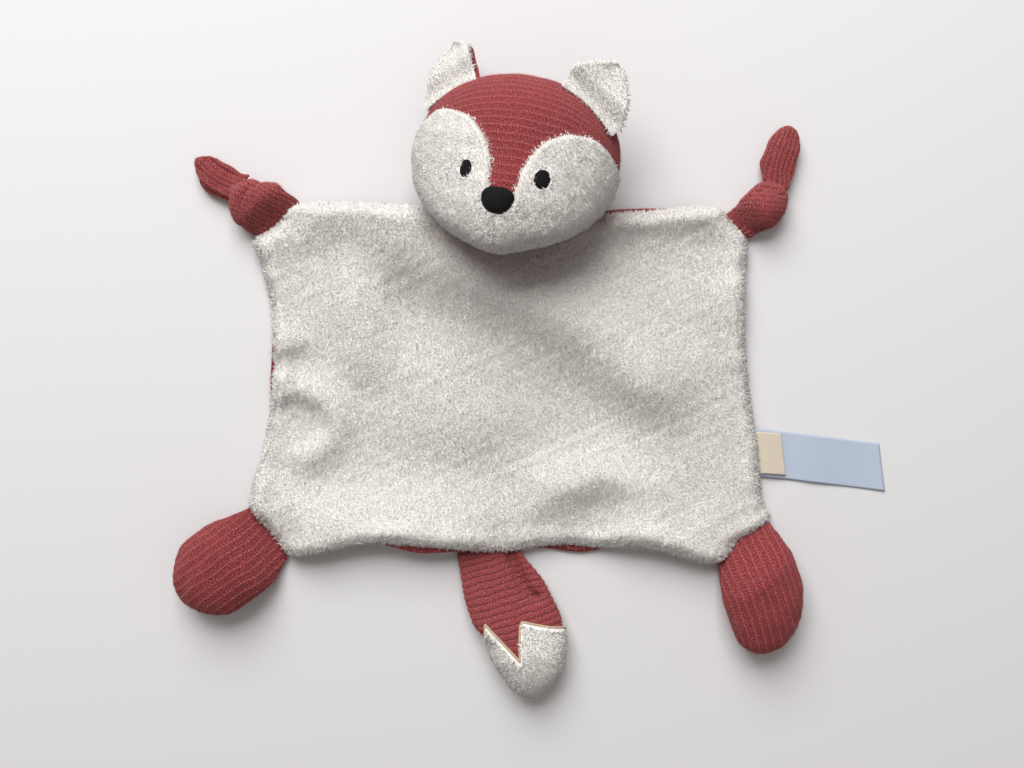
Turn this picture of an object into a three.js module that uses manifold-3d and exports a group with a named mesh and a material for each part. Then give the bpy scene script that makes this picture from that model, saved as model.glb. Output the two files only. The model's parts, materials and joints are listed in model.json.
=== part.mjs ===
// Comfort blanket with a stuffed fox head, lying face up. Millimetres.
// X points to the viewer's right, Y towards the head, Z up from the surface it lies on.
// The origin is on that surface, under the middle of the blanket.

import * as THREE from 'three';
import { mergeVertices } from 'three/addons/utils/BufferGeometryUtils.js';
import Module from 'manifold-3d';

const wasm = await Module();
wasm.setup();

// Shared cloth thicknesses and clearances
const gap = 0.3;                 // clearance between neighbouring pieces
const knitThickness = 2.2;       // rib knit of the blanket's back
const plushThickness = 4;        // pile and backing of the blanket's front
const hemKnitThickness = 1.4;    // the knit where the seam squeezes it
const hemPlushThickness = 2.1;   // the plush where the seam squeezes it
const skinThickness = 1.5;       // rib knit round the stuffed pieces
const cheekPile = 1.6;           // how far plush stands proud of knit
const flatDepth = 0.5;           // depth of the flats that stuffed pieces rest on
const rootRadius = 1.6;          // half the thickness of a limb where it is sewn in

// Blanket
const blanketHalfWidth = 129;
const blanketTop = 90;           // reach of the top hem from the origin
const blanketBottom = 82;        // reach of the bottom hem from the origin
const foldLine = -8;             // the line across which the blanket folds in half
const leftBow = 8.5;             // how far the left side draws in between its corners
const rightBow = 5;
const topRightPull = 11;         // how far the knotted arm draws the top right corner in
const topDip = 4;                // sag of the top hem under the head
const hemWave = 2;               // waves along the bottom hem
const hemWaveLength = 95;
const hemWaveStart = -6;
const hemCornerDrop = 4;         // the bottom corners hang lower than the hem's middle
const cornerRise = 19;           // height of each cut corner
const cornerRun = { topLeft: 22, topRight: 13, bottomLeft: 17, bottomRight: 29 };
const columns = 16;
const straightRows = 4;
const cornerRows = 2;
const foldFade = 14;             // the folds die out this far from the fold line

// Folds that lift the blanket, each a ridge from one point to another
const ridges = [
  { from: [22, 50], to: [76, 8], lift: 6.5, reach: 15 },
  { from: [-116, -60], to: [-36, -62], lift: 5.5, reach: 13 },
  { from: [20, -44], to: [62, -34], lift: 5, reach: 12 },
  { from: [66, -38], to: [104, -62], lift: 6, reach: 13 },
  { from: [-84, 62], to: [-80, 24], lift: 4.5, reach: 14 },
  { from: [-30, 20], to: [-50, -48], lift: 3.5, reach: 22 },
  { from: [-108, 80], to: [-66, 76], lift: 4.5, reach: 9 },
  { from: [100, 66], to: [108, 22], lift: 4.5, reach: 12 },
];
const flatShare = 1.2;           // height under which a ridge still lies flat

// Head, measured in its own frame: x to its side, y up its face, z out of its face
const headCentre = [2.1, 105.6];
const headTilt = -9;             // degrees, clockwise for the viewer
const headYaw = -8.3;            // degrees, towards the viewer's left
const headHalfWidth = 49;
const headHalfHeight = 42.2;
const faceDepth = 30;
const napeDepth = 24;
const chinLift = 18;             // how far the chin comes forward
const muzzleBulge = 6;
const muzzleWidth = 13;
const muzzleDrop = 22;           // muzzle's middle below the head's middle
const crownFullness = 2.4;       // over 2 is fuller than round
const chinFullness = 2.15;
const headLevels = 12;
const headSides = 24;
const neckWidth = 44;
const neckX = 2;                 // the neck's middle, from the blanket's
const neckDepth = 13;            // how far the neck's web runs in under the nape
const neckThickness = 9.6;       // the web where it meets the nape

// Cheek edge: from the nose up the blaze, over the eye and out to the side of the head
const cheekEdge = [[6.5, -22], [7, -12], [11, -2], [20, 10], [33, 15], [45, 8], [56, -6]];
const noseDrop = 24.6;
const noseWidth = 15;
const noseHeight = 12.5;
const noseTaper = 0.16;          // how much broader the nose is at its top than at its middle
const noseTuck = 3;              // how far the muzzle's seam runs up under the nose
const noseProud = 2;
const eyeApart = 36.2;
const eyeDrop = 10.6;
const eyeWidth = 6.6;
const eyeHeight = 8.8;
const eyeProud = 0.9;
const cheekSteps = 18;
const ovalSides = 14;
const seamStep = 6;              // spacing of the points of the head's side seam

// Ears
const earBase = 32;
const earHeight = 23.5;
const earPlushThickness = 3;
const earKnitThickness = 1.6;
const earRootThickness = 0.8;
const earCup = 5;                // how far an ear's sides curl forward
const earFullness = 2.2;         // over 2 is broader below the tip
const earRoundness = 0.6;        // under 1 rounds the tip
const earTipThinning = 0.5;      // share of an ear's thickness lost at its tip
const earSettle = 0.4;           // share of its height over which an ear thickens
const earSides = 12;
const earShares = [0, 0.2, 0.45, 0.7, 0.9, 0.98];
const ears = {
  left: { side: -1, rise: 0.71, forward: 12, turn: 38, tiltBack: 30, skew: 6 },
  right: { side: 1, rise: 0.7, forward: 30, turn: -37, tiltBack: 12, skew: -1 },
};

// Arms: a strand from the cut corner, a knot, and a flat lobe beyond it
const arms = {
  left: { corner: 'topLeft', bearing: 152, knotAt: 14.5, tipBearing: 141, tipLength: 22, tipWidth: 15 },
  right: { corner: 'topRight', bearing: 30, knotAt: 16, tipBearing: 72, tipLength: 28, tipWidth: 19 },
};
const knotLength = 21;
const knotWidth = 23;
const knotHeight = 17;
const knotSides = 10;
const knotLevels = 6;
const wrapRadius = 4.6;
const wrapInset = 2.5;           // the wrap's middle line lies this far inside the knot's outline
const wrapSides = 6;
const wrapSteps = 12;
const wrapTilt = 28;             // degrees that the knot's wrap leans
const strandHalfWidth = 7;
const strandThickness = 8.5;     // where the strand enters its knot
const strandShares = [0.35, 0.7, 1];
const tipThickness = 11;
const tipRootRadius = 2.4;
const tipRootWidth = 8;
const tipRootHeight = 6.8;       // a lobe leaves its knot this high above the surface
const tipGroove = 2.6;
const grooveReach = 2.8;         // half the width of the groove along a lobe
const tipClearance = 0.9;        // between a knot and the lobe that turns against it
const tipStandOff = 0.6;         // between a knot and the lobe's rounded root

// Feet and tail: stuffed knit, swelling from a flat sewn root
const feet = {
  left: { corner: 'bottomLeft', length: 51, width: 40, thickness: 25, rootWidth: 27, lean: 0.06 },
  right: { corner: 'bottomRight', length: 52, width: 42, thickness: 25, rootWidth: 31, lean: 0.36 },
};
const tail = { x: -7, length: 66, width: 39, thickness: 21, rootWidth: 31, lean: -0.3 };
const limbSides = 14;
const limbRings = 8;
const limbShoulder = 0.45;       // share of its length where a limb is full
const limbRoundFrom = 0.6;       // share of its length where its end starts to round
const limbLastRing = 0.96;       // the last ring before the end, on an even count
const tipEdge = [[-34, 46], [-22, 43], [-3.5, 37], [2.5, 46], [14.5, 31], [34, 38]];
const trimWidth = 1;
const fillingFrom = 0.15;        // share of a limb's length where its filling starts

// Labels sewn in the right side seam
const careLabel = { y: -34, length: 61, width: 24, thickness: 0.6, turn: -13.5 };
const smallLabel = { y: -34.5, length: 10, width: 21, thickness: 1, turn: -11 };
const labelSettle = 20;          // a label reaches the surface this far from its seam
const labelSteps = 8;
const labelStandOff = 0.6;       // clearance of a label's sewn end, so that it can turn

const colours = {
  knit: { color: 0xa8443f, roughness: 0.95, metalness: 0 },
  plush: { color: 0xe0dcd2, roughness: 1, metalness: 0 },
  filling: { color: 0xf2f0ea, roughness: 1, metalness: 0 },
  stitch: { color: 0x17151a, roughness: 0.5, metalness: 0 },
  trim: { color: 0xbca888, roughness: 0.85, metalness: 0 },
  satin: { color: 0xcfd6e2, roughness: 0.4, metalness: 0 },
  tape: { color: 0xddd0bb, roughness: 0.7, metalness: 0 },
};

const seamHeight = (hemKnitThickness + gap + hemPlushThickness) / 2;
const hingeStandOff = rootRadius + gap;
const leastBore = 0.5;           // half the height of the narrowest hollow, where a limb is sewn in
const rootTurns = [15, 50, 90];  // degrees round the rounded end of a root
const farOut = 400;              // past the whole object
const group = new THREE.Group();

// Solids: closed meshes that can be joined and cut

function closedGeometry(points, faces) {
  const geometry = new THREE.BufferGeometry();
  const coords = points.flatMap((p) => [p.x, p.y, p.z]);
  geometry.setAttribute('position', new THREE.Float32BufferAttribute(coords, 3));
  geometry.setIndex(faces.flat());
  let volume = 0;
  for (const [a, b, c] of faces) {
    const normal = new THREE.Vector3().crossVectors(points[b], points[c]);
    volume += points[a].dot(normal);
  }
  if (volume < 0) {
    geometry.setIndex(faces.map(([a, b, c]) => [a, c, b]).flat());
  }
  return geometry;
}

function toSolid(geometry) {
  const bare = geometry.clone();
  bare.deleteAttribute('normal');
  bare.deleteAttribute('uv');
  const merged = mergeVertices(bare, 1e-4);
  const mesh = new wasm.Mesh({
    numProp: 3,
    vertProperties: Float32Array.from(merged.attributes.position.array),
    triVerts: Uint32Array.from(merged.index.array),
  });
  return new wasm.Manifold(mesh);
}

function toGeometry(solid) {
  const mesh = solid.getMesh();
  const geometry = new THREE.BufferGeometry();
  geometry.setAttribute('position', new THREE.Float32BufferAttribute(mesh.vertProperties, 3));
  geometry.setIndex(new THREE.Uint32BufferAttribute(mesh.triVerts, 1));
  geometry.computeVertexNormals();
  return geometry;
}

function addPiece(parent, name, solid, finish) {
  const mesh = new THREE.Mesh(toGeometry(solid), new THREE.MeshStandardMaterial(colours[finish]));
  mesh.name = name;
  parent.add(mesh);
}

// A skin of closed rings from one end to the other, each end closed by a fan
function loft(rings) {
  const count = rings[0].length;
  const points = rings.flat();
  const faces = [];
  for (let r = 0; r + 1 < rings.length; r++) {
    for (let i = 0; i < count; i++) {
      const next = (i + 1) % count;
      const a = r * count + i;
      const b = r * count + next;
      faces.push([a, b, b + count], [a, b + count, a + count]);
    }
  }
  for (const [ring, start] of [[rings[0], 0], [rings.at(-1), points.length - count]]) {
    const middle = ring.reduce((sum, p) => sum.add(p), new THREE.Vector3()).divideScalar(count);
    const centre = points.push(middle) - 1;
    for (let i = 0; i < count; i++) {
      const next = (i + 1) % count;
      faces.push(start === 0 ? [centre, start + next, start + i] : [centre, start + i, start + next]);
    }
  }
  return closedGeometry(points, faces);
}

function ellipse(sides, halfWidth, halfHeight, place) {
  const ring = [];
  for (let i = 0; i < sides; i++) {
    const angle = (2 * Math.PI * i) / sides;
    ring.push(place(halfWidth * Math.cos(angle), halfHeight * Math.sin(angle), angle));
  }
  return ring;
}

// A flat outline in x and y, made into a block between two heights
function prism(outline, low, high) {
  const shape = new THREE.Shape(outline.map(([x, y]) => new THREE.Vector2(x, y)));
  const geometry = new THREE.ExtrudeGeometry(shape, { depth: high - low, bevelEnabled: false });
  geometry.translate(0, 0, low);
  return toSolid(geometry);
}

function block(low, high) {
  const size = high.map((value, i) => value - low[i]);
  const geometry = new THREE.BoxGeometry(...size);
  geometry.translate(...low.map((value, i) => value + size[i] / 2));
  return geometry;
}

// Everything under a height over the resting surface, seen from a frame
function under(height, matrix = new THREE.Matrix4()) {
  const floor = block([-farOut, -farOut, -farOut], [farOut, farOut, height]);
  floor.applyMatrix4(matrix.clone().invert());
  return toSolid(floor);
}

const clamp = THREE.MathUtils.clamp;
const smooth = THREE.MathUtils.smoothstep;
const lerp = THREE.MathUtils.lerp;
const radians = THREE.MathUtils.degToRad;

// Blanket

const blanketMiddle = (blanketTop - blanketBottom) / 2;
const blanketHalfHeight = (blanketTop + blanketBottom) / 2;

function sideX(side, y) {
  const share = clamp((y - blanketMiddle) / blanketHalfHeight, -1, 1);
  const bow = (side < 0 ? leftBow : rightBow) * (1 - share * share);
  const pull = side < 0 ? 0 : (topRightPull * (share + 1)) / 2;
  return side * (blanketHalfWidth - bow - pull);
}

function hemY(half, x) {
  const share = x / blanketHalfWidth;
  if (half > 0) {
    return blanketTop - topDip * (1 - Math.min(1, share * share));
  }
  const wave = hemWave * Math.cos((2 * Math.PI * (x - hemWaveStart)) / hemWaveLength);
  return -(blanketBottom + wave + hemCornerDrop * share ** 4);
}

function cornerName(half, side) {
  return (half > 0 ? 'top' : 'bottom') + (side < 0 ? 'Left' : 'Right');
}

// A point of one half: along runs from the fold line to the hem, across from left to right
function blanketPoint(half, along, across) {
  const reach = half > 0 ? blanketTop : -blanketBottom;
  const start = foldLine + (half * gap) / 2;
  const cutFrom = 1 - cornerRise / Math.abs(reach - start);
  const cut = clamp((along - cutFrom) / (1 - cutFrom), 0, 1);
  const rowY = lerp(start, reach, along);
  const left = sideX(-1, rowY) + cornerRun[cornerName(half, -1)] * cut;
  const right = sideX(1, rowY) - cornerRun[cornerName(half, 1)] * cut;
  const x = lerp(left, right, across);
  return [x, lerp(start, hemY(half, x), along)];
}

function liftAt(x, y) {
  let height = 0;
  for (const ridge of ridges) {
    const dx = ridge.to[0] - ridge.from[0];
    const dy = ridge.to[1] - ridge.from[1];
    const along = clamp(((x - ridge.from[0]) * dx + (y - ridge.from[1]) * dy) / (dx * dx + dy * dy), 0, 1);
    const away = Math.hypot(x - ridge.from[0] - along * dx, y - ridge.from[1] - along * dy);
    height += ridge.lift * Math.exp(-((away / ridge.reach) ** 2));
  }
  const fade = smooth(Math.abs(y - foldLine), 0, foldFade);
  return Math.max(0, height - flatShare) * fade;
}

function blanketPanel(half, bottomOf, topOf) {
  const reach = Math.abs((half > 0 ? blanketTop : -blanketBottom) - foldLine);
  const cutFrom = 1 - cornerRise / reach;
  const rows = [];
  for (let i = 0; i <= straightRows; i++) {
    rows.push((cutFrom * i) / straightRows);
  }
  for (let i = 1; i <= cornerRows; i++) {
    rows.push(lerp(cutFrom, 1, i / cornerRows));
  }
  const points = [];
  const width = columns + 1;
  for (const layer of [bottomOf, topOf]) {
    rows.forEach((along, row) => {
      for (let column = 0; column <= columns; column++) {
        const [x, y] = blanketPoint(half, along, column / columns);
        const atHem = row === rows.length - 1 || ((column === 0 || column === columns) && row > 0);
        points.push(new THREE.Vector3(x, y, layer(liftAt(x, y), atHem)));
      }
    });
  }
  const layerSize = rows.length * width;
  const faces = [];
  const quad = (a, b, c, d) => faces.push([a, b, c], [a, c, d]);
  for (let row = 0; row + 1 < rows.length; row++) {
    for (let column = 0; column < columns; column++) {
      const a = row * width + column;
      quad(a, a + width, a + width + 1, a + 1);
      quad(layerSize + a, layerSize + a + 1, layerSize + a + width + 1, layerSize + a + width);
    }
    const left = row * width;
    const right = left + columns;
    quad(left, layerSize + left, layerSize + left + width, left + width);
    quad(right, right + width, layerSize + right + width, layerSize + right);
  }
  const last = (rows.length - 1) * width;
  for (let column = 0; column < columns; column++) {
    quad(column, column + 1, layerSize + column + 1, layerSize + column);
    const a = last + column;
    quad(a, layerSize + a, layerSize + a + 1, a + 1);
  }
  return toSolid(closedGeometry(points, faces));
}

function addBlanket() {
  const knitTop = (lift, atHem) => lift + (atHem ? hemKnitThickness : knitThickness);
  const plushBottom = (lift, atHem) => knitTop(lift, atHem) + gap;
  const plushTop = (lift, atHem) => plushBottom(lift, atHem) + (atHem ? hemPlushThickness : plushThickness);
  for (const [half, word] of [[1, 'upper'], [-1, 'lower']]) {
    addPiece(group, `blanket_back_${word}`, blanketPanel(half, (lift) => lift, knitTop), 'knit');
    addPiece(group, `blanket_front_${word}`, blanketPanel(half, plushBottom, plushTop), 'plush');
  }
}

// Seams where a limb is sewn on: their middle, how far they run and which way is out

function cornerSeam(name) {
  const half = name.startsWith('top') ? 1 : -1;
  const across = name.endsWith('Left') ? 0 : 1;
  const reach = Math.abs((half > 0 ? blanketTop : -blanketBottom) - foldLine);
  const from = new THREE.Vector2(...blanketPoint(half, 1 - cornerRise / reach, across));
  const to = new THREE.Vector2(...blanketPoint(half, 1, across));
  const run = to.clone().sub(from).normalize();
  const out = new THREE.Vector2(run.y, -run.x);
  if (out.dot(from) < 0) {
    out.negate();
  }
  return { middle: from.clone().lerp(to, 0.5), out };
}

function seamGroup(middle, out, standOff) {
  const seat = new THREE.Group();
  seat.position.set(middle.x + out.x * standOff, middle.y + out.y * standOff, 0);
  seat.rotation.z = Math.atan2(out.y, out.x) - Math.PI / 2;
  group.add(seat);
  return seat;
}

// Stuffed limbs: y runs out along the limb from its hinge line, x across it

function swell(share, root, full) {
  const body = lerp(root, full, smooth(share, 0, limbShoulder));
  const over = clamp((share - limbRoundFrom) / (1 - limbRoundFrom), 0, 1);
  return body * Math.sqrt(Math.max(0, 1 - over * over));
}

function limbShares() {
  const shares = [];
  for (let i = 1; i <= limbRings; i++) {
    const even = (limbLastRing * i) / limbRings;
    const over = Math.max(0, (even - limbRoundFrom) / (1 - limbRoundFrom));
    shares.push(over > 0 ? lerp(limbRoundFrom, 1, Math.sin((Math.PI / 2) * over)) : even);
  }
  return shares;
}

// The limb's form drawn in by an inset, from one of its shares on, over a raised floor
function limbForm(limb, inset, firstShare) {
  const centreHeight = limb.thickness / 2 - flatDepth;
  const rings = [];
  for (const share of limbShares().filter((value) => value >= firstShare)) {
    const y = share * (limb.length - inset);
    const z = lerp(seamHeight, centreHeight, smooth(share, 0, limbShoulder));
    const halfWidth = Math.max(leastBore, swell(share, limb.rootWidth / 2, limb.width / 2) - inset);
    const halfHeight = Math.max(leastBore, swell(share, rootRadius, limb.thickness / 2) - inset);
    rings.push(ellipse(limbSides, halfWidth, halfHeight, (dx, dz) =>
      new THREE.Vector3(dx + limb.lean * y, y, z + dz)));
  }
  return rings;
}

// A root rounded about the hinge line, so that the limb can turn in its seam
function roundRoot(halfWidth) {
  return rootTurns.map((turn) => {
    const back = -rootRadius * Math.cos(radians(turn));
    const halfHeight = rootRadius * Math.sin(radians(turn));
    return ellipse(limbSides, halfWidth, halfHeight, (x, z) => new THREE.Vector3(x, back, seamHeight + z));
  });
}

function openRoot(halfWidth) {
  return [-2 * rootRadius, 0].map((y) =>
    ellipse(limbSides, halfWidth, leastBore, (x, z) => new THREE.Vector3(x, y, seamHeight + z)));
}

function overFloor(rings, height) {
  return toSolid(loft(rings)).subtract(under(height));
}

function limbPieces(limb) {
  const wall = skinThickness;
  const outer = overFloor([...roundRoot(limb.rootWidth / 2), ...limbForm(limb, 0, 0)], 0);
  const bore = overFloor([...openRoot(limb.rootWidth / 2 - wall), ...limbForm(limb, wall, 0)], wall);
  const filling = overFloor(limbForm(limb, wall + gap, fillingFrom), wall + gap);
  return { outer, bore, filling };
}

function addFeet() {
  for (const [side, foot] of Object.entries(feet)) {
    const seam = cornerSeam(foot.corner);
    const seat = seamGroup(seam.middle, seam.out, hingeStandOff);
    const { outer, bore, filling } = limbPieces(foot);
    addPiece(seat, `foot_${side}_skin`, outer.subtract(bore), 'knit');
    addPiece(seat, `foot_${side}_filling`, filling, 'filling');
  }
}

// Tail

function hemReach(x, halfWidth) {
  let reach = 0;
  for (let step = -1; step <= 1; step += 0.25) {
    reach = Math.min(reach, hemY(-1, x + step * halfWidth));
  }
  return reach;
}

// Everything past the zigzag edge, moved along the tail
function pastTipEdge(shift) {
  const outline = tipEdge.map(([x, y]) => [x, y + shift]);
  outline.push([tipEdge.at(-1)[0], farOut], [tipEdge[0][0], farOut]);
  const angle = -Math.atan(tail.lean);
  const turned = outline.map(([x, y]) => [
    x * Math.cos(angle) - y * Math.sin(angle),
    x * Math.sin(angle) + y * Math.cos(angle),
  ]);
  return prism(turned, -farOut, farOut);
}

function addTail() {
  const middle = new THREE.Vector2(tail.x, hemReach(tail.x, tail.rootWidth / 2));
  const seat = seamGroup(middle, new THREE.Vector2(0, -1), hingeStandOff);
  const { outer, bore, filling } = limbPieces(tail);
  const steps = tipEdge.slice(1).map(([x, y], i) => Math.abs((y - tipEdge[i][1]) / (x - tipEdge[i][0])));
  const slant = Math.hypot(1, Math.max(...steps));
  const trimStart = gap * slant;
  const trimEnd = trimStart + trimWidth * slant;
  const tuft = { ...tail, width: tail.width + 2 * cheekPile, thickness: tail.thickness + cheekPile };
  tuft.length = tail.length + cheekPile;
  const tuftForm = limbPieces(tuft).outer;
  addPiece(seat, 'tail_sleeve', outer.subtract(bore).subtract(pastTipEdge(0)), 'knit');
  const band = outer.subtract(bore).intersect(pastTipEdge(trimStart)).subtract(pastTipEdge(trimEnd));
  addPiece(seat, 'tail_trim', band, 'trim');
  addPiece(seat, 'tail_tip', tuftForm.subtract(bore).intersect(pastTipEdge(trimEnd + trimStart)), 'plush');
  addPiece(seat, 'tail_filling', filling, 'filling');
}

// Arms: a strand sewn in the cut corner, its knot, and the flat lobe beyond the knot

function ball(halfWidth, halfLength, halfHeight) {
  const geometry = new THREE.SphereGeometry(1, knotSides, knotLevels);
  geometry.scale(halfWidth, halfLength, halfHeight);
  return geometry;
}

function knotForm(centre, grow) {
  const core = ball(knotWidth / 2 + grow, knotLength / 2 + grow, knotHeight / 2 + grow);
  core.translate(...centre.toArray());
  const ringRadius = knotWidth / 2 - wrapInset;
  const wrap = new THREE.TorusGeometry(ringRadius, wrapRadius + grow, wrapSides, wrapSteps);
  wrap.scale(1, knotLength / knotWidth, 1);
  wrap.rotateX(radians(wrapTilt));
  wrap.translate(...centre.toArray());
  return toSolid(core).add(toSolid(wrap));
}

function strandForm(centre) {
  const rings = roundRoot(strandHalfWidth);
  for (const share of strandShares) {
    const halfHeight = lerp(rootRadius, strandThickness / 2, share);
    rings.push(ellipse(limbSides, strandHalfWidth, halfHeight, (x, z) =>
      new THREE.Vector3(x + centre.x * share, centre.y * share, lerp(seamHeight, centre.z, share) + z)));
  }
  return toSolid(loft(rings));
}

function tipForm(arm) {
  const rings = rootTurns.map((turn) =>
    ellipse(limbSides, tipRootWidth / 2, tipRootRadius * Math.sin(radians(turn)), (x, z) =>
      new THREE.Vector3(x, -tipRootRadius * Math.cos(radians(turn)), tipRootHeight + z)));
  for (const share of limbShares()) {
    const halfWidth = swell(share, tipRootWidth / 2, arm.tipWidth / 2);
    const halfHeight = swell(share, tipRootRadius, tipThickness / 2);
    const height = lerp(tipRootHeight, tipThickness / 2 - flatDepth, smooth(share, 0, limbShoulder));
    const groove = tipGroove * smooth(share, 0, limbShoulder) * (halfHeight / (tipThickness / 2));
    rings.push(ellipse(limbSides, halfWidth, halfHeight, (x, z) => {
      const sink = z > 0 ? groove * Math.exp(-((x / grooveReach) ** 2)) : 0;
      return new THREE.Vector3(x, share * arm.tipLength, height + z - sink);
    }));
  }
  return overFloor(rings, 0);
}

function addArms() {
  for (const [side, arm] of Object.entries(arms)) {
    const seam = cornerSeam(arm.corner);
    const seat = seamGroup(seam.middle, seam.out, hingeStandOff);
    const toKnot = radians(arm.bearing) - seat.rotation.z;
    const centre = new THREE.Vector3(Math.cos(toKnot), Math.sin(toKnot), 0).multiplyScalar(arm.knotAt);
    centre.z = knotHeight / 2 - flatDepth;
    const knot = knotForm(centre, 0).add(strandForm(centre)).subtract(under(0));
    addPiece(seat, `arm_${side}_knot`, knot, 'knit');

    const toTip = radians(arm.tipBearing) - seat.rotation.z;
    const reach = knotLength / 2 + tipRootRadius + tipStandOff;
    const hand = new THREE.Group();
    hand.position.set(centre.x + Math.cos(toTip) * reach, centre.y + Math.sin(toTip) * reach, 0);
    hand.rotation.z = toTip - Math.PI / 2;
    seat.add(hand);
    hand.updateMatrix();
    const clear = toGeometry(knotForm(centre, tipClearance));
    clear.applyMatrix4(hand.matrix.clone().invert());
    addPiece(hand, `arm_${side}_tip`, tipForm(arm).subtract(toSolid(clear)), 'knit');
  }
}

// Head

const headGroup = new THREE.Group();
headGroup.position.set(...headCentre, napeDepth - flatDepth);
headGroup.rotation.set(0, radians(headYaw), radians(headTilt), 'ZYX');
headGroup.updateMatrix();
group.add(headGroup);

function seamDepth(y) {
  const share = Math.min(0, y / headHalfHeight);
  return chinLift * share * share;
}

// A point of the head: share runs from the chin, -1, to the crown, 1, and angle goes round
function headPoint(share, angle, grow) {
  const y = (headHalfHeight + grow) * share;
  const fullness = share > 0 ? crownFullness : chinFullness;
  const halfWidth = (headHalfWidth + grow) * Math.sqrt(1 - Math.abs(share) ** fullness);
  const x = halfWidth * Math.cos(angle);
  const lift = Math.sin(angle);
  const depth = (lift > 0 ? faceDepth : napeDepth) + grow;
  const away = (x * x + (y + muzzleDrop) ** 2) / (2 * muzzleWidth * muzzleWidth);
  const bulge = lift > 0 ? muzzleBulge * Math.exp(-away) * lift : 0;
  return new THREE.Vector3(x, y, seamDepth(y) + depth * Math.sqrt(1 - share * share) * lift + bulge);
}

function headForm(grow) {
  const rings = [];
  for (let level = 1; level < headLevels; level++) {
    const share = Math.sin(Math.PI * (level / headLevels - 0.5));
    rings.push(ellipse(headSides, 1, 1, (x, z, angle) => headPoint(share, angle, grow)));
  }
  return toSolid(loft(rings));
}

function headNormal(share, angle) {
  const step = 0.02;
  const round = headPoint(share, angle + step, 0).sub(headPoint(share, angle - step, 0));
  const up = headPoint(share + step, angle, 0).sub(headPoint(share - step, angle, 0));
  return round.cross(up).normalize().negate();
}

// All that lies in front of the head's side seam
function inFront(shift) {
  const outline = [];
  for (let y = -2 * headHalfHeight; y <= headHalfHeight; y += seamStep) {
    outline.push([seamDepth(y) + shift, y]);
  }
  outline.push([farOut, farOut], [farOut, -2 * headHalfHeight]);
  const shape = new THREE.Shape(outline.map(([z, y]) => new THREE.Vector2(z, y)));
  const geometry = new THREE.ExtrudeGeometry(shape, { depth: 2 * farOut, bevelEnabled: false });
  geometry.translate(0, 0, -farOut);
  geometry.rotateY(-Math.PI / 2);
  return toSolid(geometry);
}

// A cheek's outline from the front, grown outwards
function cheekOutline(side, grow) {
  const curve = new THREE.SplineCurve(cheekEdge.map(([x, y]) => new THREE.Vector2(x, y)));
  const line = curve.getPoints(cheekSteps).map((point, i) => {
    const run = curve.getTangent(i / cheekSteps);
    return [point.x - run.y * grow, point.y + run.x * grow];
  });
  const seamX = gap / 2 - grow;
  const bottom = -2 * headHalfHeight;
  const outline = [[seamX, bottom], [seamX, -noseDrop - noseTuck], ...line, [farOut, line.at(-1)[1]]];
  outline.push([farOut, bottom]);
  return outline.map(([x, y]) => [side * x, y]);
}

function ovalOutline(x, y, width, height, grow) {
  const outline = [];
  for (let i = 0; i < ovalSides; i++) {
    const angle = (2 * Math.PI * i) / ovalSides;
    outline.push([x + (width / 2 + grow) * Math.cos(angle), y + (height / 2 + grow) * Math.sin(angle)]);
  }
  return outline;
}

// The nose: broad at the top, narrowing to a round lower edge
function noseOutline(grow) {
  return ovalOutline(0, -noseDrop, noseWidth, noseHeight, grow).map(([x, y]) => {
    const down = (y + noseDrop) / (noseHeight / 2);
    return [x * (1 + noseTaper * down), y];
  });
}

function neckWeb() {
  const hinge = hemReachTop();
  const ring = (halfHeight, y, centreHeight) => ellipse(limbSides, neckWidth / 2, halfHeight, (x, z) =>
    new THREE.Vector3(neckX + x, y, centreHeight + z));
  const rings = rootTurns.map((turn) => {
    const back = rootRadius * Math.cos(radians(turn));
    return ring(rootRadius * Math.sin(radians(turn)), hinge - back, seamHeight);
  });
  rings.push(ring(neckThickness / 2, hinge + neckDepth, neckThickness / 2));
  const geometry = loft(rings);
  geometry.applyMatrix4(headGroup.matrix.clone().invert());
  return toSolid(geometry);
}

function hemReachTop() {
  let reach = 0;
  for (let step = -1; step <= 1; step += 0.25) {
    reach = Math.max(reach, hemY(1, neckX + (step * neckWidth) / 2));
  }
  return reach + hingeStandOff;
}

function addHead() {
  const floor = under(0, headGroup.matrix);
  const knitForm = headForm(0);
  const bore = headForm(-skinThickness);
  const front = inFront(gap / 2);
  const back = knitForm.subtract(inFront(-gap / 2)).add(neckWeb());
  addPiece(headGroup, 'head_back', back.subtract(bore).subtract(floor), 'knit');

  const nosePrism = (grow) => prism(noseOutline(grow), -farOut, farOut);
  let forehead = knitForm.subtract(bore).intersect(front);
  const plushForm = headForm(cheekPile);
  for (const [side, word] of [[-1, 'left'], [1, 'right']]) {
    const around = prism(cheekOutline(side, gap), -farOut, farOut).subtract(nosePrism(0));
    forehead = forehead.subtract(around);
    const region = prism(cheekOutline(side, 0), -farOut, farOut).subtract(nosePrism(gap));
    const cheek = plushForm.subtract(bore).intersect(front).intersect(region);
    addPiece(headGroup, `cheek_${word}`, cheek, 'plush');
    const eyeLine = ovalOutline((side * eyeApart) / 2, -eyeDrop, eyeWidth, eyeHeight, 0);
    const eye = headForm(cheekPile + gap + eyeProud).subtract(headForm(cheekPile + gap));
    addPiece(headGroup, `eye_${word}`, eye.intersect(front).intersect(prism(eyeLine, 0, farOut)), 'stitch');
  }
  addPiece(headGroup, 'forehead', forehead, 'knit');
  const nose = headForm(cheekPile + noseProud).subtract(headForm(gap)).intersect(front);
  addPiece(headGroup, 'nose', nose.intersect(nosePrism(0)), 'stitch');
  const filling = headForm(-skinThickness - gap);
  addPiece(headGroup, 'head_filling', filling, 'filling');
}

// Ears: a plush face and a knit back, cupped, thin where they are sewn to the head

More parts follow.
